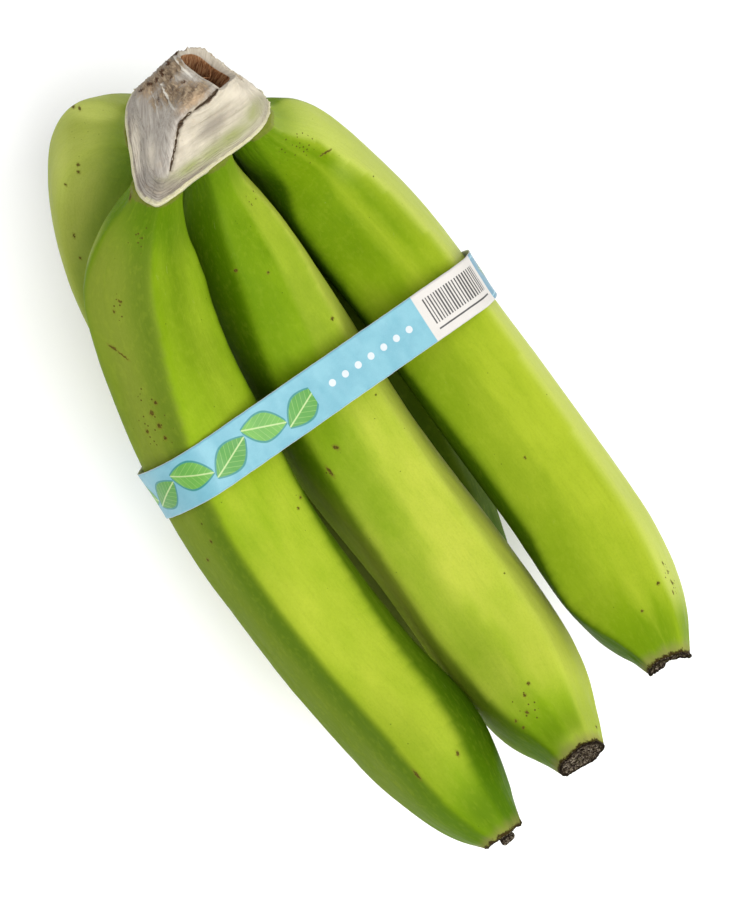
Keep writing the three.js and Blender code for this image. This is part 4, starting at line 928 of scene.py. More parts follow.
    # thin wall that splits the hollow, with a torn top edge
    a, b = closed_spline(np.array(CROWN_HOLE), 1)[3], closed_spline(np.array(CROWN_HOLE), 1)[16]
    m, n = 26, 22
    u, v = np.meshgrid(np.linspace(0, 1, m), np.linspace(0, 1, n), indexing="ij")
    line = a + (b - a) * (u[..., None] * 1.06 - .03)
    across = np.cross(b - a, down)
    across /= np.linalg.norm(across)
    torn = 1.5 + 0.9 * noise3(np.stack([u * 6, 0 * u, 0 * u], -1), 41) + 1.2 * np.sin(np.pi * u)
    sheet = line + down * (torn + v * (9.5 - torn))[..., None]
    sheet = sheet + across * (0.7 * np.sin(2.2 * u * np.pi) + .35 * noise3(np.stack([u * 5, v * 5, 0 * u], -1), 43))[..., None]
    half = (0.16 + .14 * v)[..., None] * across
    front, back = sheet + half, sheet - half
    wall = np.concatenate([front.reshape(-1, 3), back.reshape(-1, 3)])
    wall_faces = [[i * n + j, (i + 1) * n + j, (i + 1) * n + j + 1, i * n + j + 1] for i in range(m - 1) for j in range(n - 1)]
    wall_faces += [[q + m * n for q in f[::-1]] for f in wall_faces]
    edge = ([(i, 0) for i in range(m)] + [(m - 1, j) for j in range(1, n)]
            + [(i, n - 1) for i in range(m - 2, -1, -1)] + [(0, j) for j in range(n - 2, 0, -1)])
    ids = [i * n + j for i, j in edge]
    for k in range(len(ids)):
        p, q = ids[k], ids[(k + 1) % len(ids)]
        wall_faces.append([p, p + m * n, q + m * n, q])
    if signed_volume(wall, wall_faces) < 0:
        wall_faces = [f[::-1] for f in wall_faces]
    shift = len(points)
    points = np.vstack([points, wall])
    faces += [[q + shift for q in f] for f in wall_faces]
    for key in attributes:
        if key == "grain":
            extra = np.stack([wall[:, 0] * 1.3, wall[:, 1] * 1.3, wall[:, 2]], -1)
        elif key == "hollow":
            extra = np.full(len(wall), .62)
        elif key == "brown":
            extra = np.full(len(wall), .5)
        else:
            extra = np.zeros(len(wall))
        attributes[key] = np.concatenate([attributes[key], extra])
    return make_mesh("crown_dried", points, faces, attributes)


# --------------------------------------------------------------------- band
BAND_LONG = 337.25      # once round, mm
LAP_FROM, LAP_TO = 281.0, 302.0


def build_band():
    per = 8
    across = 20
    loop = np.array([[*q, 0] for q in BAND_LOOP], float)
    loop = closed_spline(loop, per)[:, :2]
    n = len(loop)
    s = np.concatenate([[0], np.cumsum(np.linalg.norm(np.diff(np.vstack([loop, loop[:1]]), axis=0), axis=1))])
    scale = s[-1]
    tangent = np.roll(loop, -1, 0) - np.roll(loop, 1, 0)
    tangent /= np.linalg.norm(tangent, axis=1)[:, None]
    out = np.stack([tangent[:, 1], -tangent[:, 0]], 1)
    if ((loop - loop.mean(0)) * out).sum() < 0:
        out = -out
    # one strip that starts under the lap and ends on top of it
    first = int(n * LAP_FROM / scale)
    last = n + int(n * LAP_TO / scale)
    index = np.arange(first, last + 1)
    run = np.array([s[i % n] + scale * (i // n) for i in index])
    base, push = loop[index % n], out[index % n]
    over = ease(run - scale, LAP_FROM - 9, LAP_FROM - 1)     # climbs over its own start
    lift = 0.34 * over
    h = np.linspace(-1, 1, across)
    R, Hh = np.meshgrid(run, h, indexing="ij")
    wrapped = 2 * np.pi * R / scale
    ring = np.stack([54 * np.sin(wrapped), 54 * np.cos(wrapped), Hh * 7.5], -1)
    ripple = 0.13 * fbm(ring / [9, 9, 14], 81, 2) + 0.06 * fbm(ring / [3, 3, 5], 83, 2)
    ripple += 0.16 * Hh ** 4
    ripple += lift[:, None]
    edge = 7.5 + 0.05 * noise3(ring / [2.2, 2.2, 100], 85)
    def place(t):
        q = base[:, None] + push[:, None] * (ripple + t)[..., None]
        return (np.array(BAND_POINT) + q[..., :1] * np.array(BAND_U) + q[..., 1:] * np.array(BAND_V)
                + (Hh * edge)[..., None] * np.array(BAND_AXIS))
    inner, outer = place(0.02), place(0.26)
    outer[..., 2] = np.maximum(outer[..., 2], 0.03)
    inner[..., 2] = np.maximum(inner[..., 2], 0.25)
    m = len(run)
    points = np.concatenate([outer.reshape(-1, 3), inner.reshape(-1, 3)])
    faces = [[i * across + j, (i + 1) * across + j, (i + 1) * across + j + 1, i * across + j + 1]
             for i in range(m - 1) for j in range(across - 1)]
    shift = m * across
    faces += [[q + shift for q in f[::-1]] for f in faces]
    edges = ([(i, 0) for i in range(m)] + [(m - 1, j) for j in range(1, across)]
             + [(i, across - 1) for i in range(m - 2, -1, -1)] + [(0, j) for j in range(across - 2, 0, -1)])
    ids = [i * across + j for i, j in edges]
    rim = []
    for k in range(len(ids)):
        p, q = ids[k], ids[(k + 1) % len(ids)]
        rim.append([p, p + shift, q + shift, q])
    faces += rim
    if signed_volume(points, faces) < 0:
        faces = [f[::-1] for f in faces]
    place_on = np.stack([np.mod(R, scale), Hh * 7.5, 0 * R], -1).reshape(-1, 3)
    wear = np.zeros(2 * shift)
    face = np.concatenate([np.ones(shift), np.zeros(shift)])
    end = np.concatenate([np.stack([R, 0 * R, 0 * R], -1).reshape(-1, 3)] * 2)[:, 0]
    obj = make_mesh("label_band_strip", points, faces,
                    {"printed": np.concatenate([place_on, place_on]), "face": face,
                     "ring": np.concatenate([ring.reshape(-1, 3)] * 2)})
    return obj


# ---------------------------------------------------------------- materials
EXPOSED = 0.66      # share of full scale that a surface facing the lights keeps


def srgb(r, g, b, a=1.0, share=None):
    """Surface colour that shows as these 0..255 display values under the lights."""
    lin = lambda c: c / 12.92 if c <= 0.04045 else ((c + 0.055) / 1.055) ** 2.4
    k = EXPOSED if share is None else share
    return (lin(r / 255) * k, lin(g / 255) * k, lin(b / 255) * k, a)


class Graph:
    """A node tree written as expressions; every method returns a socket."""

    def __init__(self, name):
        self.material = bpy.data.materials.new(name)
        self.material.use_nodes = True
        self.tree = self.material.node_tree
        self.tree.nodes.clear()
        self.made = {}

    def node(self, kind, **props):
        n = self.tree.nodes.new(kind)
        for key, value in props.items():
            setattr(n, key, value)
        return n

    def put(self, socket, value):
        if value is None:
            return
        if isinstance(value, bpy.types.NodeSocket):
            self.tree.links.new(value, socket)
        else:
            socket.default_value = value

    def attribute(self, name, vector=False):
        if name not in self.made:
            self.made[name] = self.node("ShaderNodeAttribute", attribute_name=name)
        return self.made[name].outputs["Vector" if vector else "Fac"]

    def place(self):
        if "Object" not in self.made:
            self.made["Object"] = self.node("ShaderNodeTexCoord")
        return self.made["Object"].outputs["Object"]

    def math(self, op, a, b=None, c=None, clamp=False):
        n = self.node("ShaderNodeMath", operation=op, use_clamp=clamp)
        for socket, value in zip(n.inputs, (a, b, c)):
            self.put(socket, value)
        return n.outputs[0]

    def add(self, a, b): return self.math("ADD", a, b)
    def sub(self, a, b): return self.math("SUBTRACT", a, b)
    def mul(self, a, b): return self.math("MULTIPLY", a, b)
    def most(self, a, b): return self.math("MAXIMUM", a, b)
    def least(self, a, b): return self.math("MINIMUM", a, b)

    def vector(self, op, a, b=None, scale=None):
        n = self.node("ShaderNodeVectorMath", operation=op)
        self.put(n.inputs[0], a)
        self.put(n.inputs[1], b)
        if scale is not None:
            self.put(n.inputs["Scale"], scale)
        return n.outputs["Value" if op in ("LENGTH", "DOT_PRODUCT", "DISTANCE") else "Vector"]

    def times(self, v, x, y, z): return self.vector("MULTIPLY", v, (x, y, z))

    def split(self, v):
        n = self.node("ShaderNodeSeparateXYZ")
        self.put(n.inputs[0], v)
        return n.outputs[0], n.outputs[1], n.outputs[2]

    def join(self, x, y, z):
        n = self.node("ShaderNodeCombineXYZ")
        for socket, value in zip(n.inputs, (x, y, z)):
            self.put(socket, value)
        return n.outputs[0]

    def noise(self, v, scale=1.0, detail=2.0, rough=.5, bend=0.0):
        n = self.node("ShaderNodeTexNoise")
        self.put(n.inputs["Vector"], v)
        self.put(n.inputs["Scale"], scale)
        self.put(n.inputs["Detail"], detail)
        self.put(n.inputs["Roughness"], rough)
        self.put(n.inputs["Distortion"], bend)
        return n.outputs["Fac"]

    def cells(self, v, scale=1.0, feature="F1", loose=1.0, output="Distance"):
        n = self.node("ShaderNodeTexVoronoi", feature=feature)
        self.put(n.inputs["Vector"], v)
        self.put(n.inputs["Scale"], scale)
        self.put(n.inputs["Randomness"], loose)
        return n.outputs[output] if output else (n.outputs["Distance"], n.outputs["Color"])

    def fit(self, x, a, b, lo=0.0, hi=1.0, smooth=True):
        """lo at a, hi at b; a may be above b."""
        n = self.node("ShaderNodeMapRange", interpolation_type="SMOOTHSTEP" if smooth else "LINEAR")
        for socket, value in zip(n.inputs, (x, a, b, lo, hi)):
            self.put(socket, value)
        return n.outputs[0]

    def mix(self, f, a, b, blend="MIX"):
        n = self.node("ShaderNodeMix", data_type="RGBA", blend_type=blend, clamp_factor=True)
        self.put(n.inputs[0], f)
        self.put(n.inputs[6], a)
        self.put(n.inputs[7], b)
        return n.outputs[2]

    def ramp(self, x, stops, ease_="LINEAR"):
        n = self.node("ShaderNodeValToRGB")
        ramp = n.color_ramp
        ramp.interpolation = ease_
        while len(ramp.elements) < len(stops):
            ramp.elements.new(0.5)
        for element, (pos, colour) in zip(ramp.elements, stops):
            element.position = pos
            element.color = colour
        self.put(n.inputs[0], x)
        return n.outputs[0]

    def scaled(self, colour, factor):
        """colour times a plain number from a socket"""
        return self.vector("SCALE", colour, scale=factor)

    def spot(self, v, mark):
        """Distance from a mark, 1 at its edge. mark = (centre mm, direction, half length, half width mm)"""
        centre, direction, long_, wide = mark
        n = self.node("ShaderNodeMapping", vector_type="TEXTURE")
        axis = Vector(direction).normalized()
        turn = axis.to_track_quat("X", "Z").to_euler()
        self.put(n.inputs["Vector"], v)
        n.inputs["Location"].default_value = Vector(centre) * MM
        n.inputs["Rotation"].default_value = turn
        n.inputs["Scale"].default_value = (long_ * MM, wide * MM, wide * MM)
        return self.vector("LENGTH", n.outputs[0])

    def finish(self, colour, rough, height=None, strength=.3, distance=.0002, **fixed):
        shader = self.node("ShaderNodeBsdfPrincipled")
        self.put(shader.inputs["Base Color"], colour)
        self.put(shader.inputs["Roughness"], rough)
        for key, value in fixed.items():
            shader.inputs[key.replace("_", " ")].default_value = value
        if height is not None:
            bump = self.node("ShaderNodeBump")
            bump.inputs["Strength"].default_value = strength
            bump.inputs["Distance"].default_value = distance
            self.put(bump.inputs["Height"], height)
            self.tree.links.new(bump.outputs[0], shader.inputs["Normal"])
        out = self.node("ShaderNodeOutputMaterial")
        self.tree.links.new(shader.outputs[0], out.inputs["Surface"])
        return self.material


def peel_material(name, look):
    g = Graph(name)
    skin = g.attribute("skin", True)
    tone, ridge = g.attribute("tone"), g.attribute("ridge")
    deep, near, painted_light_shade = g.attribute("deep"), g.attribute("near"), g.attribute("painted_light_shade")
    neck_mm, tip_mm, scar = g.attribute("from_neck"), g.attribute("from_tip"), g.attribute("scar")
    seeded = g.vector("ADD", skin, (look["seed"] * 13.7, 0, 0))

    # clouds of yellower and greener peel, drawn out along the fruit
    cloud = g.noise(g.times(seeded, 1 / 16, 1 / 16, 1 / 42), 1, 3, .55, .2)
    patch = g.noise(g.times(seeded, 1 / 5.0, 1 / 5.0, 1 / 11), 1, 3, .6)
    fibre = g.noise(g.times(seeded, 1 / .75, 1 / .75, 1 / 16), 1, 3, .6)
    fibre = g.add(.5, g.mul(g.sub(fibre, .5), g.fit(tip_mm, 6, 30, .35, 1.0)))
    grain = g.noise(g.times(seeded, 1 / .42, 1 / .42, 1 / .7), 1, 2, .6)
    mottle = g.noise(g.times(seeded, 1 / 1.5, 1 / 1.5, 1 / 2.2), 1, 2, .55)

    green, mid, light, dull = (srgb(*look[k]) for k in ("green", "mid", "light", "dull"))
    share = g.math("DIVIDE", neck_mm, g.add(g.add(neck_mm, tip_mm), .001))
    warm = g.mul(g.fit(share, .18, .62), g.fit(share, 1.0, .86))
    ripe = g.add(g.mul(warm, .34), g.add(g.mul(cloud, .62), g.mul(patch, .16)))
    colour = g.ramp(ripe, [(.30, green), (.52, mid), (.80, light)])
    # painted shade towards the green and painted highlight towards the light colour, across the main facet
    colour = g.mix(g.fit(painted_light_shade, 0, -1, 0, .9, False), colour, green)
    colour = g.mix(g.fit(painted_light_shade, 0, 1, 0, .8, False), colour, light)
    # facets: where the tone is low, olive, partly the peel's own bloom and partly painted shade; where it is high, pale
    # yellow-green, a painted highlight
    olive = g.mix(g.fit(share, .30, .62), dull, srgb(*look["dim"]))
    colour = g.mix(g.fit(tone, -.05, -.95, 0, .85), colour, olive)
    colour = g.mix(g.fit(tone, .1, .9, 0, .75), colour, srgb(*look["pale"]))
    # deep green flanks, the inner flanks' greener peel with painted shade, and painted shade where the peel lies
    # against a neighbour
    colour = g.mix(g.mul(g.fit(deep, 0, 1, 0, .9, False), g.fit(patch, .2, .8, .85, 1.0)), colour, srgb(*look["deep"]))
    colour = g.mix(g.mul(near, .66), colour, srgb(*look.get("shaded", (46, 84, 0))))
    # ridges a little yellower, with a thin worn line
    colour = g.mix(g.mul(ridge, g.fit(mottle, .3, .7, .0, .09)), colour, srgb(186, 202, 62))
    # greener at both ends
    colour = g.mix(g.mul(g.fit(neck_mm, 26, 3), .62), colour, srgb(*look["ends"]))
    colour = g.mix(g.mul(g.fit(tip_mm, look["end_mm"], 5), look["end"]), colour, srgb(*look["ends"]))
    # fibres and fine mottling
    colour = g.mix(g.fit(fibre, .45, .80, 0, .11), colour, srgb(104, 138, 10))
    colour = g.mix(g.fit(fibre, .50, .22, 0, .04), colour, srgb(190, 208, 70))
    colour = g.mix(g.fit(grain, .35, .80, 0, .13), colour, srgb(92, 126, 6))
    colour = g.mix(g.fit(mottle, .52, .30, 0, .08), colour, srgb(192, 208, 66))

    # pin-point specks, sparse, with denser clouds
    dust = g.noise(g.times(seeded, 1 / 9, 1 / 9, 1 / 14), 1, 2, .6)
    tiny, chance = g.cells(seeded, 1 / 2.1, output=None)
    pick = g.split(chance)[0]
    speck = g.mul(g.fit(tiny, .115, .06), g.math("LESS_THAN", pick, g.add(g.fit(dust, .48, .78, .03, look["dust"]), g.mul(g.fit(neck_mm, 52, 10), g.fit(dust, .40, .62, .02, .24)))))
    colour = g.mix(g.mul(speck, .62), colour, srgb(66, 84, 18))
    large, chance = g.cells(seeded, 1 / 6.3, output=None)
    chance = g.split(chance)[1]
    fleck = g.mul(g.fit(g.add(large, g.mul(mottle, .05)), .10, .055), g.math("LESS_THAN", chance, look["flecks"]))
    colour = g.mix(g.mul(fleck, .8), colour, srgb(74, 58, 22))
    # pale rubbed scuffs
    rub = g.noise(g.times(seeded, 1 / 2.2, 1 / 2.2, 1 / 7), 1, 4, .65, .6)
    rub = g.mul(g.fit(rub, .66, .76), g.fit(dust, .55, .35))
    colour = g.mix(g.mul(rub, .30), colour, srgb(196, 200, 120))

    # the scars and clusters that this fruit carries
    place = g.place()
    warp = g.node("ShaderNodeTexNoise")
    g.put(warp.inputs["Vector"], place)
    g.put(warp.inputs["Scale"], 1400.0)
    g.put(warp.inputs["Detail"], 2.0)
    near = g.vector("ADD", place, g.vector("SCALE", g.vector("SUBTRACT", warp.outputs["Color"], (.5, .5, .5)), scale=.0011))
    dark = None
    for mark in look["marks"]:
        d = g.spot(near, mark)
        dark = d if dark is None else g.least(dark, d)
    bruise = g.fit(dark, 1.9, .9, 0, .55) if dark is not None else 0.0
    core = g.fit(dark, 1.05, .75) if dark is not None else 0.0
    if dark is not None:
        colour = g.mix(bruise, colour, srgb(128, 120, 40))
        colour = g.mix(g.mul(core, .84), colour, g.mix(g.fit(grain, .3, .7), srgb(56, 40, 14), srgb(110, 84, 36)))
    if look["clusters"]:
        zone = None
        for mark in look["clusters"]:
            d = g.fit(g.spot(place, mark), 1.15, .35)
            zone = d if zone is None else g.most(zone, d)
        dots, odds = g.cells(place, 1 / (1.15 * MM), output=None)
        odds = g.split(odds)[2]
        dot = g.mul(g.fit(dots, .30, .17), g.math("LESS_THAN", odds, g.mul(zone, .62)))
        colour = g.mix(g.mul(dot, .88), colour, srgb(88, 62, 26))
        core = g.most(core, g.mul(dot, .7))

    # brown halo, then the dried blossom end itself
    ragged = g.noise(g.vector("SCALE", g.place(), scale=1 / MM), 1 / 1.1, 3, .6)
    edge = g.add(tip_mm, g.mul(g.sub(patch, .5), 3.0))
    colour = g.mix(g.fit(edge, 3.8, .3, 0, .60), colour, srgb(*look["halo"]))
    colour = g.mix(g.fit(g.add(tip_mm, g.mul(g.sub(ragged, .5), 2.8)), .85, .1, 0, .95), colour, srgb(60, 44, 20))
    crust = g.noise(g.vector("SCALE", g.place(), scale=1 / MM), 1 / .8, 4, .72, .9)
    dried = g.ramp(crust, [(.37, srgb(10, 7, 4)), (.46, srgb(42, 34, 25)), (.55, srgb(96, 85, 70)), (.65, srgb(172, 161, 142))])
    colour = g.mix(g.fit(g.add(scar, g.mul(g.sub(ragged, .5), .22)), .12, .42), colour, dried)
    colour = g.mix(g.fit(g.attribute("lip"), .25, .8, 0, .85), colour, srgb(30, 21, 13))
    colour = g.mix(g.fit(g.attribute("pith"), .35, .8, 0, .8), colour, g.mix(g.fit(crust, .38, .58), srgb(84, 70, 50), srgb(190, 178, 154)))
    # dry brown seam where the neck meets the crown
    seam = g.add(neck_mm, g.mul(g.sub(mottle, .5), 1.6))
    colour = g.mix(g.fit(seam, .9, .1, 0, .55), colour, srgb(134, 126, 66))

    rough = g.fit(patch, .3, .75, look["gloss"], look["gloss"] + .13)
    rough = g.add(rough, g.mul(ridge, -.03))
    rough = g.most(rough, g.mul(core, .7))
    rough = g.most(rough, g.fit(scar, .1, .4, 0, .92))
    rough = g.most(rough, g.fit(tip_mm, 4, .5, 0, .72))
    height = g.add(g.mul(fibre, .55), g.mul(grain, .35))
    height = g.add(height, g.mul(mottle, .35))
    height = g.add(height, g.mul(g.mul(crust, g.fit(scar, .1, .5)), 3.0))
    return g.finish(colour, rough, height, .42, .00022,
                    Subsurface_Weight=.08, Subsurface_Radius=(.0016, .0022, .0004), Subsurface_Scale=1.0,
                    Specular_IOR_Level=.02)


def crown_material():
    g = Graph("dried_crown")
    grain = g.attribute("grain", True)
    place = g.vector("SCALE", g.place(), scale=1 / MM)
    brown, green, cream = g.attribute("brown"), g.attribute("green"), g.attribute("cream")
    rim, fold, pale, hollow = g.attribute("rim"), g.attribute("fold"), g.attribute("pale"), g.attribute("hollow")
    tanned, dark, shade = g.attribute("tan"), g.attribute("dark"), g.attribute("shade")
    rise, layered = g.attribute("rise"), g.attribute("layered")
    cloud = g.noise(place, 1 / 6.0, 3, .6)
    fibre = g.noise(g.times(grain, 1 / .45, 1 / .45, 1 / 9), 1, 4, .62, .3)
    broad = g.noise(g.times(grain, 1 / 1.9, 1 / 1.9, 1 / 16), 1, 3, .6, .2)
    hair = g.noise(g.times(grain, 1 / .20, 1 / .20, 1 / 5), 1, 3, .6)
    dust = g.noise(place, 1 / .40, 3, .65)
    blotch = g.noise(place, 1 / 1.7, 4, .68, .5)
    wide = g.noise(place, 1 / 3.2, 3, .6, .3)

    grey = g.ramp(g.add(g.mul(broad, .45), g.mul(fibre, .55)),
                  [(.32, srgb(138, 127, 115)), (.43, srgb(180, 171, 159)), (.55, srgb(204, 196, 184)), (.72, srgb(230, 222, 208))])
    light = g.ramp(g.add(g.mul(broad, .5), g.mul(cloud, .5)),
                   [(.32, srgb(192, 181, 160)), (.48, srgb(218, 207, 186)), (.66, srgb(240, 229, 206))])
    colour = g.mix(cream, grey, light)
    # painted shade towards the darker colour, painted light towards the lighter one
    colour = g.mix(g.fit(shade, .5, 0, 0, .85), colour, srgb(162, 152, 138))
    colour = g.mix(g.fit(shade, .5, 1, 0, .95), colour, srgb(255, 244, 222))
    colour = g.mix(g.fit(wide, .55, .74, 0, .30), colour, srgb(204, 184, 156))
    colour = g.mix(g.mul(g.fit(blotch, .58, .76), .30), colour, srgb(126, 114, 100))
    # green under the rim of the cream sheet, a painted reflection of the green fruit below; on the underside and hidden
    # side, the crown's own unripe tint
    colour = g.mix(g.mul(green, g.fit(cloud, .25, .7, .62, .98)), colour, srgb(170, 176, 108))
    # dried layers, seen as thin lines that follow the rim
    sway = g.mul(g.sub(g.noise(place, 1 / 5.0, 2, .5), .5), 1.5)
    lines = None
    for k, (depth, width) in enumerate([(1.25, .16), (2.05, .11), (2.9, .13), (3.8, .10), (4.9, .12), (6.1, .09), (7.6, .10)]):
        away = g.math("ABSOLUTE", g.sub(g.add(rise, g.mul(sway, .35 + .16 * k)), depth))
        line = g.fit(away, width * 1.7, width * .5, 0, 1.0 - .09 * k)
        lines = line if lines is None else g.most(lines, line)
    lines = g.mul(lines, g.mul(g.fit(layered, .25, 1.0, .42, 1.0), g.fit(dust, .25, .6, .45, 1.0)))
    colour = g.mix(g.mul(lines, .62), colour, srgb(112, 96, 86))
    colour = g.mix(g.mul(rim, g.fit(fibre, .25, .7, .80, 1.0)), colour, g.mix(g.fit(dust, .3, .7), srgb(226, 218, 168), srgb(244, 240, 206)))
    # crumbled brown weathering
    rot = g.add(brown, g.mul(g.sub(blotch, .5), 1.5))
    rot = g.add(rot, g.mul(g.sub(fibre, .5), .9))
    rot = g.mul(g.fit(rot, .30, .78), g.fit(brown, .03, .3))
    tone = g.add(g.mul(blotch, .6), g.mul(fibre, .4))
    shades = g.ramp(tone, [(.33, srgb(62, 40, 22)), (.43, srgb(118, 92, 64)), (.53, srgb(168, 144, 112)), (.66, srgb(212, 192, 160))])
    colour = g.mix(g.mul(rot, .88), colour, shades)
    colour = g.mix(g.mul(tanned, g.fit(blotch, .25, .6, .5, .95)), colour, srgb(222, 192, 156))
    # dark hairline cracks and pale raised threads
    crack = g.mul(g.fit(hair, .42, .27), g.fit(broad, .30, .6))
    colour = g.mix(g.mul(crack, g.fit(cream, 1, 0, .10, .50)), colour, srgb(88, 72, 58))
    thread = g.mul(g.fit(hair, .60, .74), g.fit(fibre, .4, .65))
    colour = g.mix(g.mul(thread, g.fit(cream, 1, 0, .15, .55)), colour, srgb(238, 232, 222))
    edge = g.add(dark, g.mul(g.sub(dust, .5), .9))
    colour = g.mix(g.mul(g.fit(edge, .22, .60), g.fit(dark, .02, .12)), colour, g.mix(g.fit(fibre, .3, .7), srgb(56, 34, 20), srgb(112, 76, 48)))
    # dark brown in the slit of the fold: dried tissue, darkened further as painted shade of the crease
    gap = g.add(fold, g.mul(g.sub(dust, .5), .55))
    colour = g.mix(g.mul(g.fit(gap, .30, .70), g.fit(fold, .04, .2)), colour, g.mix(g.fit(fibre, .3, .7), srgb(66, 50, 36), srgb(126, 106, 82)))
    colour = g.mix(g.mul(g.fit(pale, .25, .75), .90), colour, srgb(240, 234, 220))
    # speckle of mould and dust
    colour = g.mix(g.mul(g.fit(dust, .67, .78), .32), colour, srgb(104, 92, 78))
    # inside of the hollow
    rust = g.ramp(g.noise(g.times(grain, 1 / .9, 1 / .9, 1 / 3.2), 1, 4, .7, .5),
                  [(.30, srgb(86, 50, 26)), (.45, srgb(158, 106, 66)), (.58, srgb(208, 158, 112)), (.75, srgb(240, 210, 168))])
    colour = g.mix(g.fit(g.add(hollow, g.mul(g.sub(dust, .5), .3)), .26, .50), colour, rust)
    rough = g.fit(fibre, .3, .7, .72, .92)
    height = g.add(g.mul(fibre, .9), g.mul(hair, .5))
    height = g.add(height, g.mul(dust, .35))
    height = g.add(height, g.mul(g.mul(blotch, rot), 1.0))
    height = g.sub(height, g.mul(lines, .8))
    height = g.add(height, g.mul(broad, .6))
    return g.finish(colour, rough, height, .60, .00040, Specular_IOR_Level=.22,
                    Subsurface_Weight=.03, Subsurface_Radius=(.0015, .0010, .0006), Subsurface_Scale=1.0)


def band_material():
    g = Graph("band_print")
    s, across, _ = g.split(g.attribute("printed", True))
    s = g.sub(147.0, s)
    face = g.attribute("face")
    ring = g.attribute("ring", True)
    place = g.vector("SCALE", g.place(), scale=1 / MM)
    paper = g.noise(ring, 1 / .35, 3, .6)
    cloud = g.noise(ring, 1 / 7.0, 3, .55)

    def between(x, a, b, soft=.12):
        return g.mul(g.fit(x, a - soft, a + soft), g.fit(x, b + soft, b - soft))

    def leaf(u, v, long_, wide):
        """Above 0 inside a pointed leaf."""
        bend = g.sub(1.0, g.math("POWER", g.math("ABSOLUTE", g.mul(u, 1 / long_)), 1.8))
        return g.sub(bend, g.mul(g.math("ABSOLUTE", v), 1 / wide))

    def cover(field, soft=.035): return g.fit(field, -soft, soft)

    blue = g.mix(g.fit(cloud, .35, .65), srgb(124, 190, 208), srgb(136, 200, 216))
    # deeper blue over one stretch of the band: partly print and partly painted shade
    deep = srgb(80, 154, 184)
    colour = g.mix(between(s, 125.1, 212, .1), blue, deep)
    # thin pale lines that frame the deeper blue
    lines = between(g.math("ABSOLUTE", across), 6.1, 6.5, .08)
    colour = g.mix(g.mul(lines, between(s, 125.1, 330, .2)), colour, srgb(150, 212, 232))

    # chain of leaves round the right and the back of the bunch
    step = 12.6
    cell = g.math("FLOOR", g.mul(g.add(s, .6), 1 / step))
    u0 = g.sub(g.sub(g.add(s, .6), g.mul(cell, step)), step / 2)
    flip = g.sub(g.mul(g.math("MODULO", g.add(cell, 20.0), 2.0), 2.0), 1.0)
    v0 = g.add(across, g.mul(flip, .9))
    lean = g.mul(flip, .42)
    u = g.add(u0, g.mul(v0, lean))
    v = g.sub(v0, g.mul(u0, lean))
    body = leaf(u, v, 7.4, 4.3)
    vein = g.math("ABSOLUTE", g.math("SINE", g.mul(g.sub(u, g.mul(g.math("ABSOLUTE", v), .9)), 1.55)))
    wet = g.mix(g.fit(flip, -.5, .5), srgb(92, 168, 62), srgb(120, 190, 74))
    inside = g.mix(g.fit(cloud, .3, .7, 0, .35), wet, srgb(76, 150, 70))
    inside = g.mix(g.mul(g.fit(vein, .30, .10), .45), inside, srgb(168, 214, 120))
    inside = g.mix(g.fit(g.math("ABSOLUTE", v), .30, .16, 0, .9), inside, srgb(206, 232, 160))
    zone = g.most(between(s, -5, 60.5, .05), between(s, -205, -88, .05))
    colour = g.mix(g.mul(cover(g.add(body, .15)), zone), colour, srgb(56, 148, 144))
    colour = g.mix(g.mul(cover(body), zone), colour, inside)

    # one muted leaf on the deeper blue: a darker, greyer leaf, partly print and partly painted shade
    du, dv = g.sub(s, 139.5), g.add(across, .1)
    lone = leaf(g.add(du, g.mul(dv, .2)), g.sub(dv, g.mul(du, .2)), 9.5, 4.6)
    mute = g.mix(g.fit(cloud, .3, .7), srgb(82, 140, 96), srgb(104, 156, 104))
    mute = g.mix(g.fit(g.math("ABSOLUTE", g.sub(dv, g.mul(du, .2))), .34, .2, 0, .8), mute, srgb(176, 206, 176))
    colour = g.mix(cover(g.add(lone, .10)), colour, srgb(38, 112, 140))
    colour = g.mix(cover(lone), colour, mute)

    # a row of plain white dots
    dot_u = g.sub(g.math("MODULO", g.sub(s, 65.0), 4.6), 2.3)
    dots = g.math("SQRT", g.add(g.mul(dot_u, dot_u), g.mul(across, across)))
    dots = g.mul(g.fit(dots, 1.12, .98), between(s, 65.2, 97.2, .05))
    colour = g.mix(g.mul(dots, .88), colour, srgb(238, 242, 244))

    # white panel with plain bars
    panel = between(s, 100.2, 125.1, .08)
    colour = g.mix(panel, colour, srgb(236, 231, 224))
    beat = g.noise(g.join(g.mul(s, 1.15), 0.0, 7.3), 1.0, 1, .5)
    bars = g.fit(g.add(g.math("SINE", g.mul(s, 6.6)), g.mul(g.sub(beat, .5), 3.4)), -.05, .25)
    bars = g.mul(bars, g.mul(between(s, 102.8, 122.4, .05), between(across, -4.9, 3.2, .06)))
    foot = g.mul(between(across, 4.55, 5.05, .05), between(s, 102.8, 122.4, .05))
    colour = g.mix(g.mul(g.most(bars, foot), .93), colour, srgb(36, 34, 36))

    # print wears a little on the ridges and along the cut edges
    scuff = g.mul(g.fit(g.noise(ring, 1 / 1.1, 4, .7), .66, .78), .22)
    hem = g.fit(g.math("ABSOLUTE", across), 7.28, 7.46)
    colour = g.mix(g.most(scuff, g.mul(hem, .75)), colour, srgb(232, 234, 232))
    colour = g.mix(g.mul(g.fit(paper, .3, .7), .05), colour, srgb(40, 60, 70))
    colour = g.mix(g.fit(face, .6, .4), colour, g.mix(g.fit(paper, .3, .7), srgb(226, 224, 218), srgb(240, 239, 234)))
    rough = g.fit(paper, .3, .7, .36, .48)
    return g.finish(colour, rough, g.add(g.mul(paper, .6), g.mul(cloud, .4)), .16, .0001,
                    Specular_IOR_Level=.45)


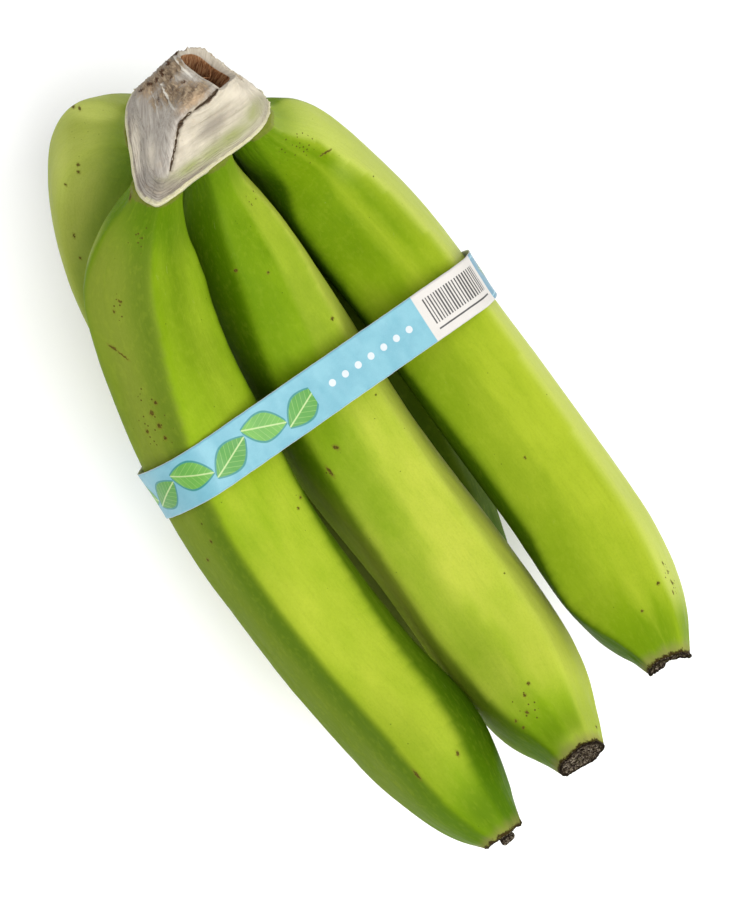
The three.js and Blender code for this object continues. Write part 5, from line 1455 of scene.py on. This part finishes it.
def floor_material():
    g = Graph("pale_floor")
    place = g.place()
    cloud = g.noise(place, 3.0, 3, .5)
    fine = g.noise(place, 900.0, 2, .5)
    colour = g.mix(cloud, srgb(248, 248, 248, share=1), srgb(251, 251, 251, share=1))
    return g.finish(colour, .62, fine, .05, .0001, Specular_IOR_Level=.2, Emission_Color=(1, 1, 1, 1), Emission_Strength=.06)


# ---------------------------------------------------------------- the object
# dull and dim: olive of low-tone facets, partly painted shade; pale: painted highlight; deep: flank green with painted
# shade; shaded: painted shade near neighbours; light: lighter peel, also the painted highlight across the main facet
LOOKS = {
    "banana_front_left": dict(seed=1, end_mm=30, end=0.5, green=(116, 148, 8), mid=(150, 182, 26), light=(190, 206, 60),
                              dull=(150, 162, 62), dim=(112, 136, 32), deep=(66, 106, 0), pale=(200, 212, 80),
                              ends=(96, 136, 8), halo=(150, 138, 84),
                              dust=.10, flecks=.05, gloss=.42, marks=MARKS["banana_front_left"],
                              clusters=CLUSTERS["banana_front_left"]),
    "banana_front_centre": dict(seed=2, end_mm=20, end=0.25, green=(112, 148, 8), mid=(150, 182, 28), light=(204, 214, 78),
                                dull=(104, 136, 12), dim=(110, 136, 10), deep=(82, 122, 0), pale=(216, 228, 92),
                                ends=(112, 150, 24), halo=(158, 146, 92),
                                dust=.08, flecks=.04, gloss=.42, marks=MARKS["banana_front_centre"],
                                clusters=CLUSTERS["banana_front_centre"]),
    "banana_front_right": dict(seed=3, end_mm=26, end=0.12, green=(114, 148, 10), mid=(142, 172, 22), light=(184, 202, 52),
                               dull=(104, 134, 12), dim=(110, 136, 14), deep=(60, 100, 0), pale=(224, 234, 118),
                               ends=(104, 142, 14), halo=(150, 140, 88),
                               dust=.14, flecks=.05, gloss=.42, marks=MARKS["banana_front_right"],
                               clusters=CLUSTERS["banana_front_right"]),
    "banana_back_left": dict(seed=4, end_mm=30, end=0.6, green=(172, 184, 78), mid=(188, 198, 94), light=(204, 212, 112),
                             dull=(158, 168, 76), dim=(142, 158, 66), deep=(84, 110, 18), pale=(218, 228, 116), shaded=(84, 134, 0),
                             ends=(112, 138, 30), halo=(150, 140, 90),
                             dust=.12, flecks=.07, gloss=.44, marks=MARKS["banana_back_left"],
                             clusters=CLUSTERS["banana_back_left"]),
    "banana_back_right": dict(seed=5, end_mm=30, end=0.6, green=(98, 130, 12), mid=(124, 154, 24), light=(166, 186, 56),
                              dull=(112, 132, 36), dim=(104, 130, 24), deep=(48, 82, 2), pale=(186, 200, 80),
                              ends=(94, 132, 14), halo=(146, 136, 86),
                              dust=.12, flecks=.06, gloss=.44, marks=MARKS["banana_back_right"],
                              clusters=CLUSTERS["banana_back_right"]),
}


def settled(obj, marks):
    """The marks, each moved onto the peel nearest to it."""
    tree = BVHTree.FromPolygons([v.co for v in obj.data.vertices], [tuple(f.vertices) for f in obj.data.polygons])
    return [(tuple(tree.find_nearest(Vector(mark[0]) * MM)[0] / MM), *mark[1:]) for mark in marks]


for node, plan in FRUITS.items():
    peel = build_fruit(node, *plan)
    look = dict(LOOKS[node])
    look["marks"] = settled(peel, look["marks"])
    peel.data.materials.append(peel_material(node.replace("banana", "peel"), look))
    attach(peel, "root")
    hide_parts(node)

crown = build_crown()
crown.data.materials.append(crown_material())
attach(crown, "root")
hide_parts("crown")

band = build_band()
band.data.materials.append(band_material())
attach(band, "root")
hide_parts("label_band")

# -------------------------------------------------------------------- stage
floor_mesh = bpy.data.meshes.new("floor")
floor_mesh.from_pydata([(-6, -6, 0), (6, -6, 0), (6, 6, 0), (-6, 6, 0)], [], [(0, 1, 2, 3)])
floor = bpy.data.objects.new("floor", floor_mesh)
bpy.context.scene.collection.objects.link(floor)
floor.location.z = -0.0002
floor_mesh.materials.append(floor_material())

right, up, back = Vector(VIEW_RIGHT), Vector(VIEW_UP), Vector(VIEW_BACK)
centre = Vector(VIEW_CENTRE) * MM


def aimed(obj, place, at):
    obj.location = place
    obj.rotation_mode = "QUATERNION"
    obj.rotation_quaternion = (Vector(at) - Vector(place)).to_track_quat("-Z", "Y")


def softbox(name, direction, distance, size, watts, colour=(1, 1, 1)):
    lamp = bpy.data.lights.new(name, "AREA")
    lamp.shape = "RECTANGLE"
    lamp.size, lamp.size_y = size
    lamp.energy = watts
    lamp.color = colour
    obj = bpy.data.objects.new(name, lamp)
    bpy.context.scene.collection.objects.link(obj)
    way = right * direction[0] + up * direction[1] + back * direction[2]
    aimed(obj, centre + way.normalized() * distance, centre)
    return obj


softbox("key_softbox", (.36, -.22, .90), 1.5, (1.25, 1.25), 26)
softbox("fill_softbox", (-.40, .35, .85), 1.8, (1.4, 1.0), 5.0)
softbox("side_softbox", (.97, -.02, .12), 1.4, (1.0, 1.0), 3.0)

world = bpy.data.worlds.new("studio")
world.use_nodes = True
world.node_tree.nodes["Background"].inputs[0].default_value = (1, 1, 1, 1)
world.node_tree.nodes["Background"].inputs[1].default_value = 0.64
bpy.context.scene.world = world

camera = bpy.data.cameras.new("camera")
camera.sensor_fit = "HORIZONTAL"
camera.sensor_width = 36
camera.lens = 3150 / 740 * 36
camera.clip_start, camera.clip_end = 0.05, 50
eye = bpy.data.objects.new("camera", camera)
bpy.context.scene.collection.objects.link(eye)
turn = Matrix((VIEW_RIGHT, VIEW_UP, VIEW_BACK)).transposed().to_4x4()
eye.matrix_world = Matrix.Translation(centre + back * 0.9) @ turn
bpy.context.scene.camera = eye

bpy.context.scene.view_settings.view_transform = "Standard"
bpy.context.scene.view_settings.look = "None"
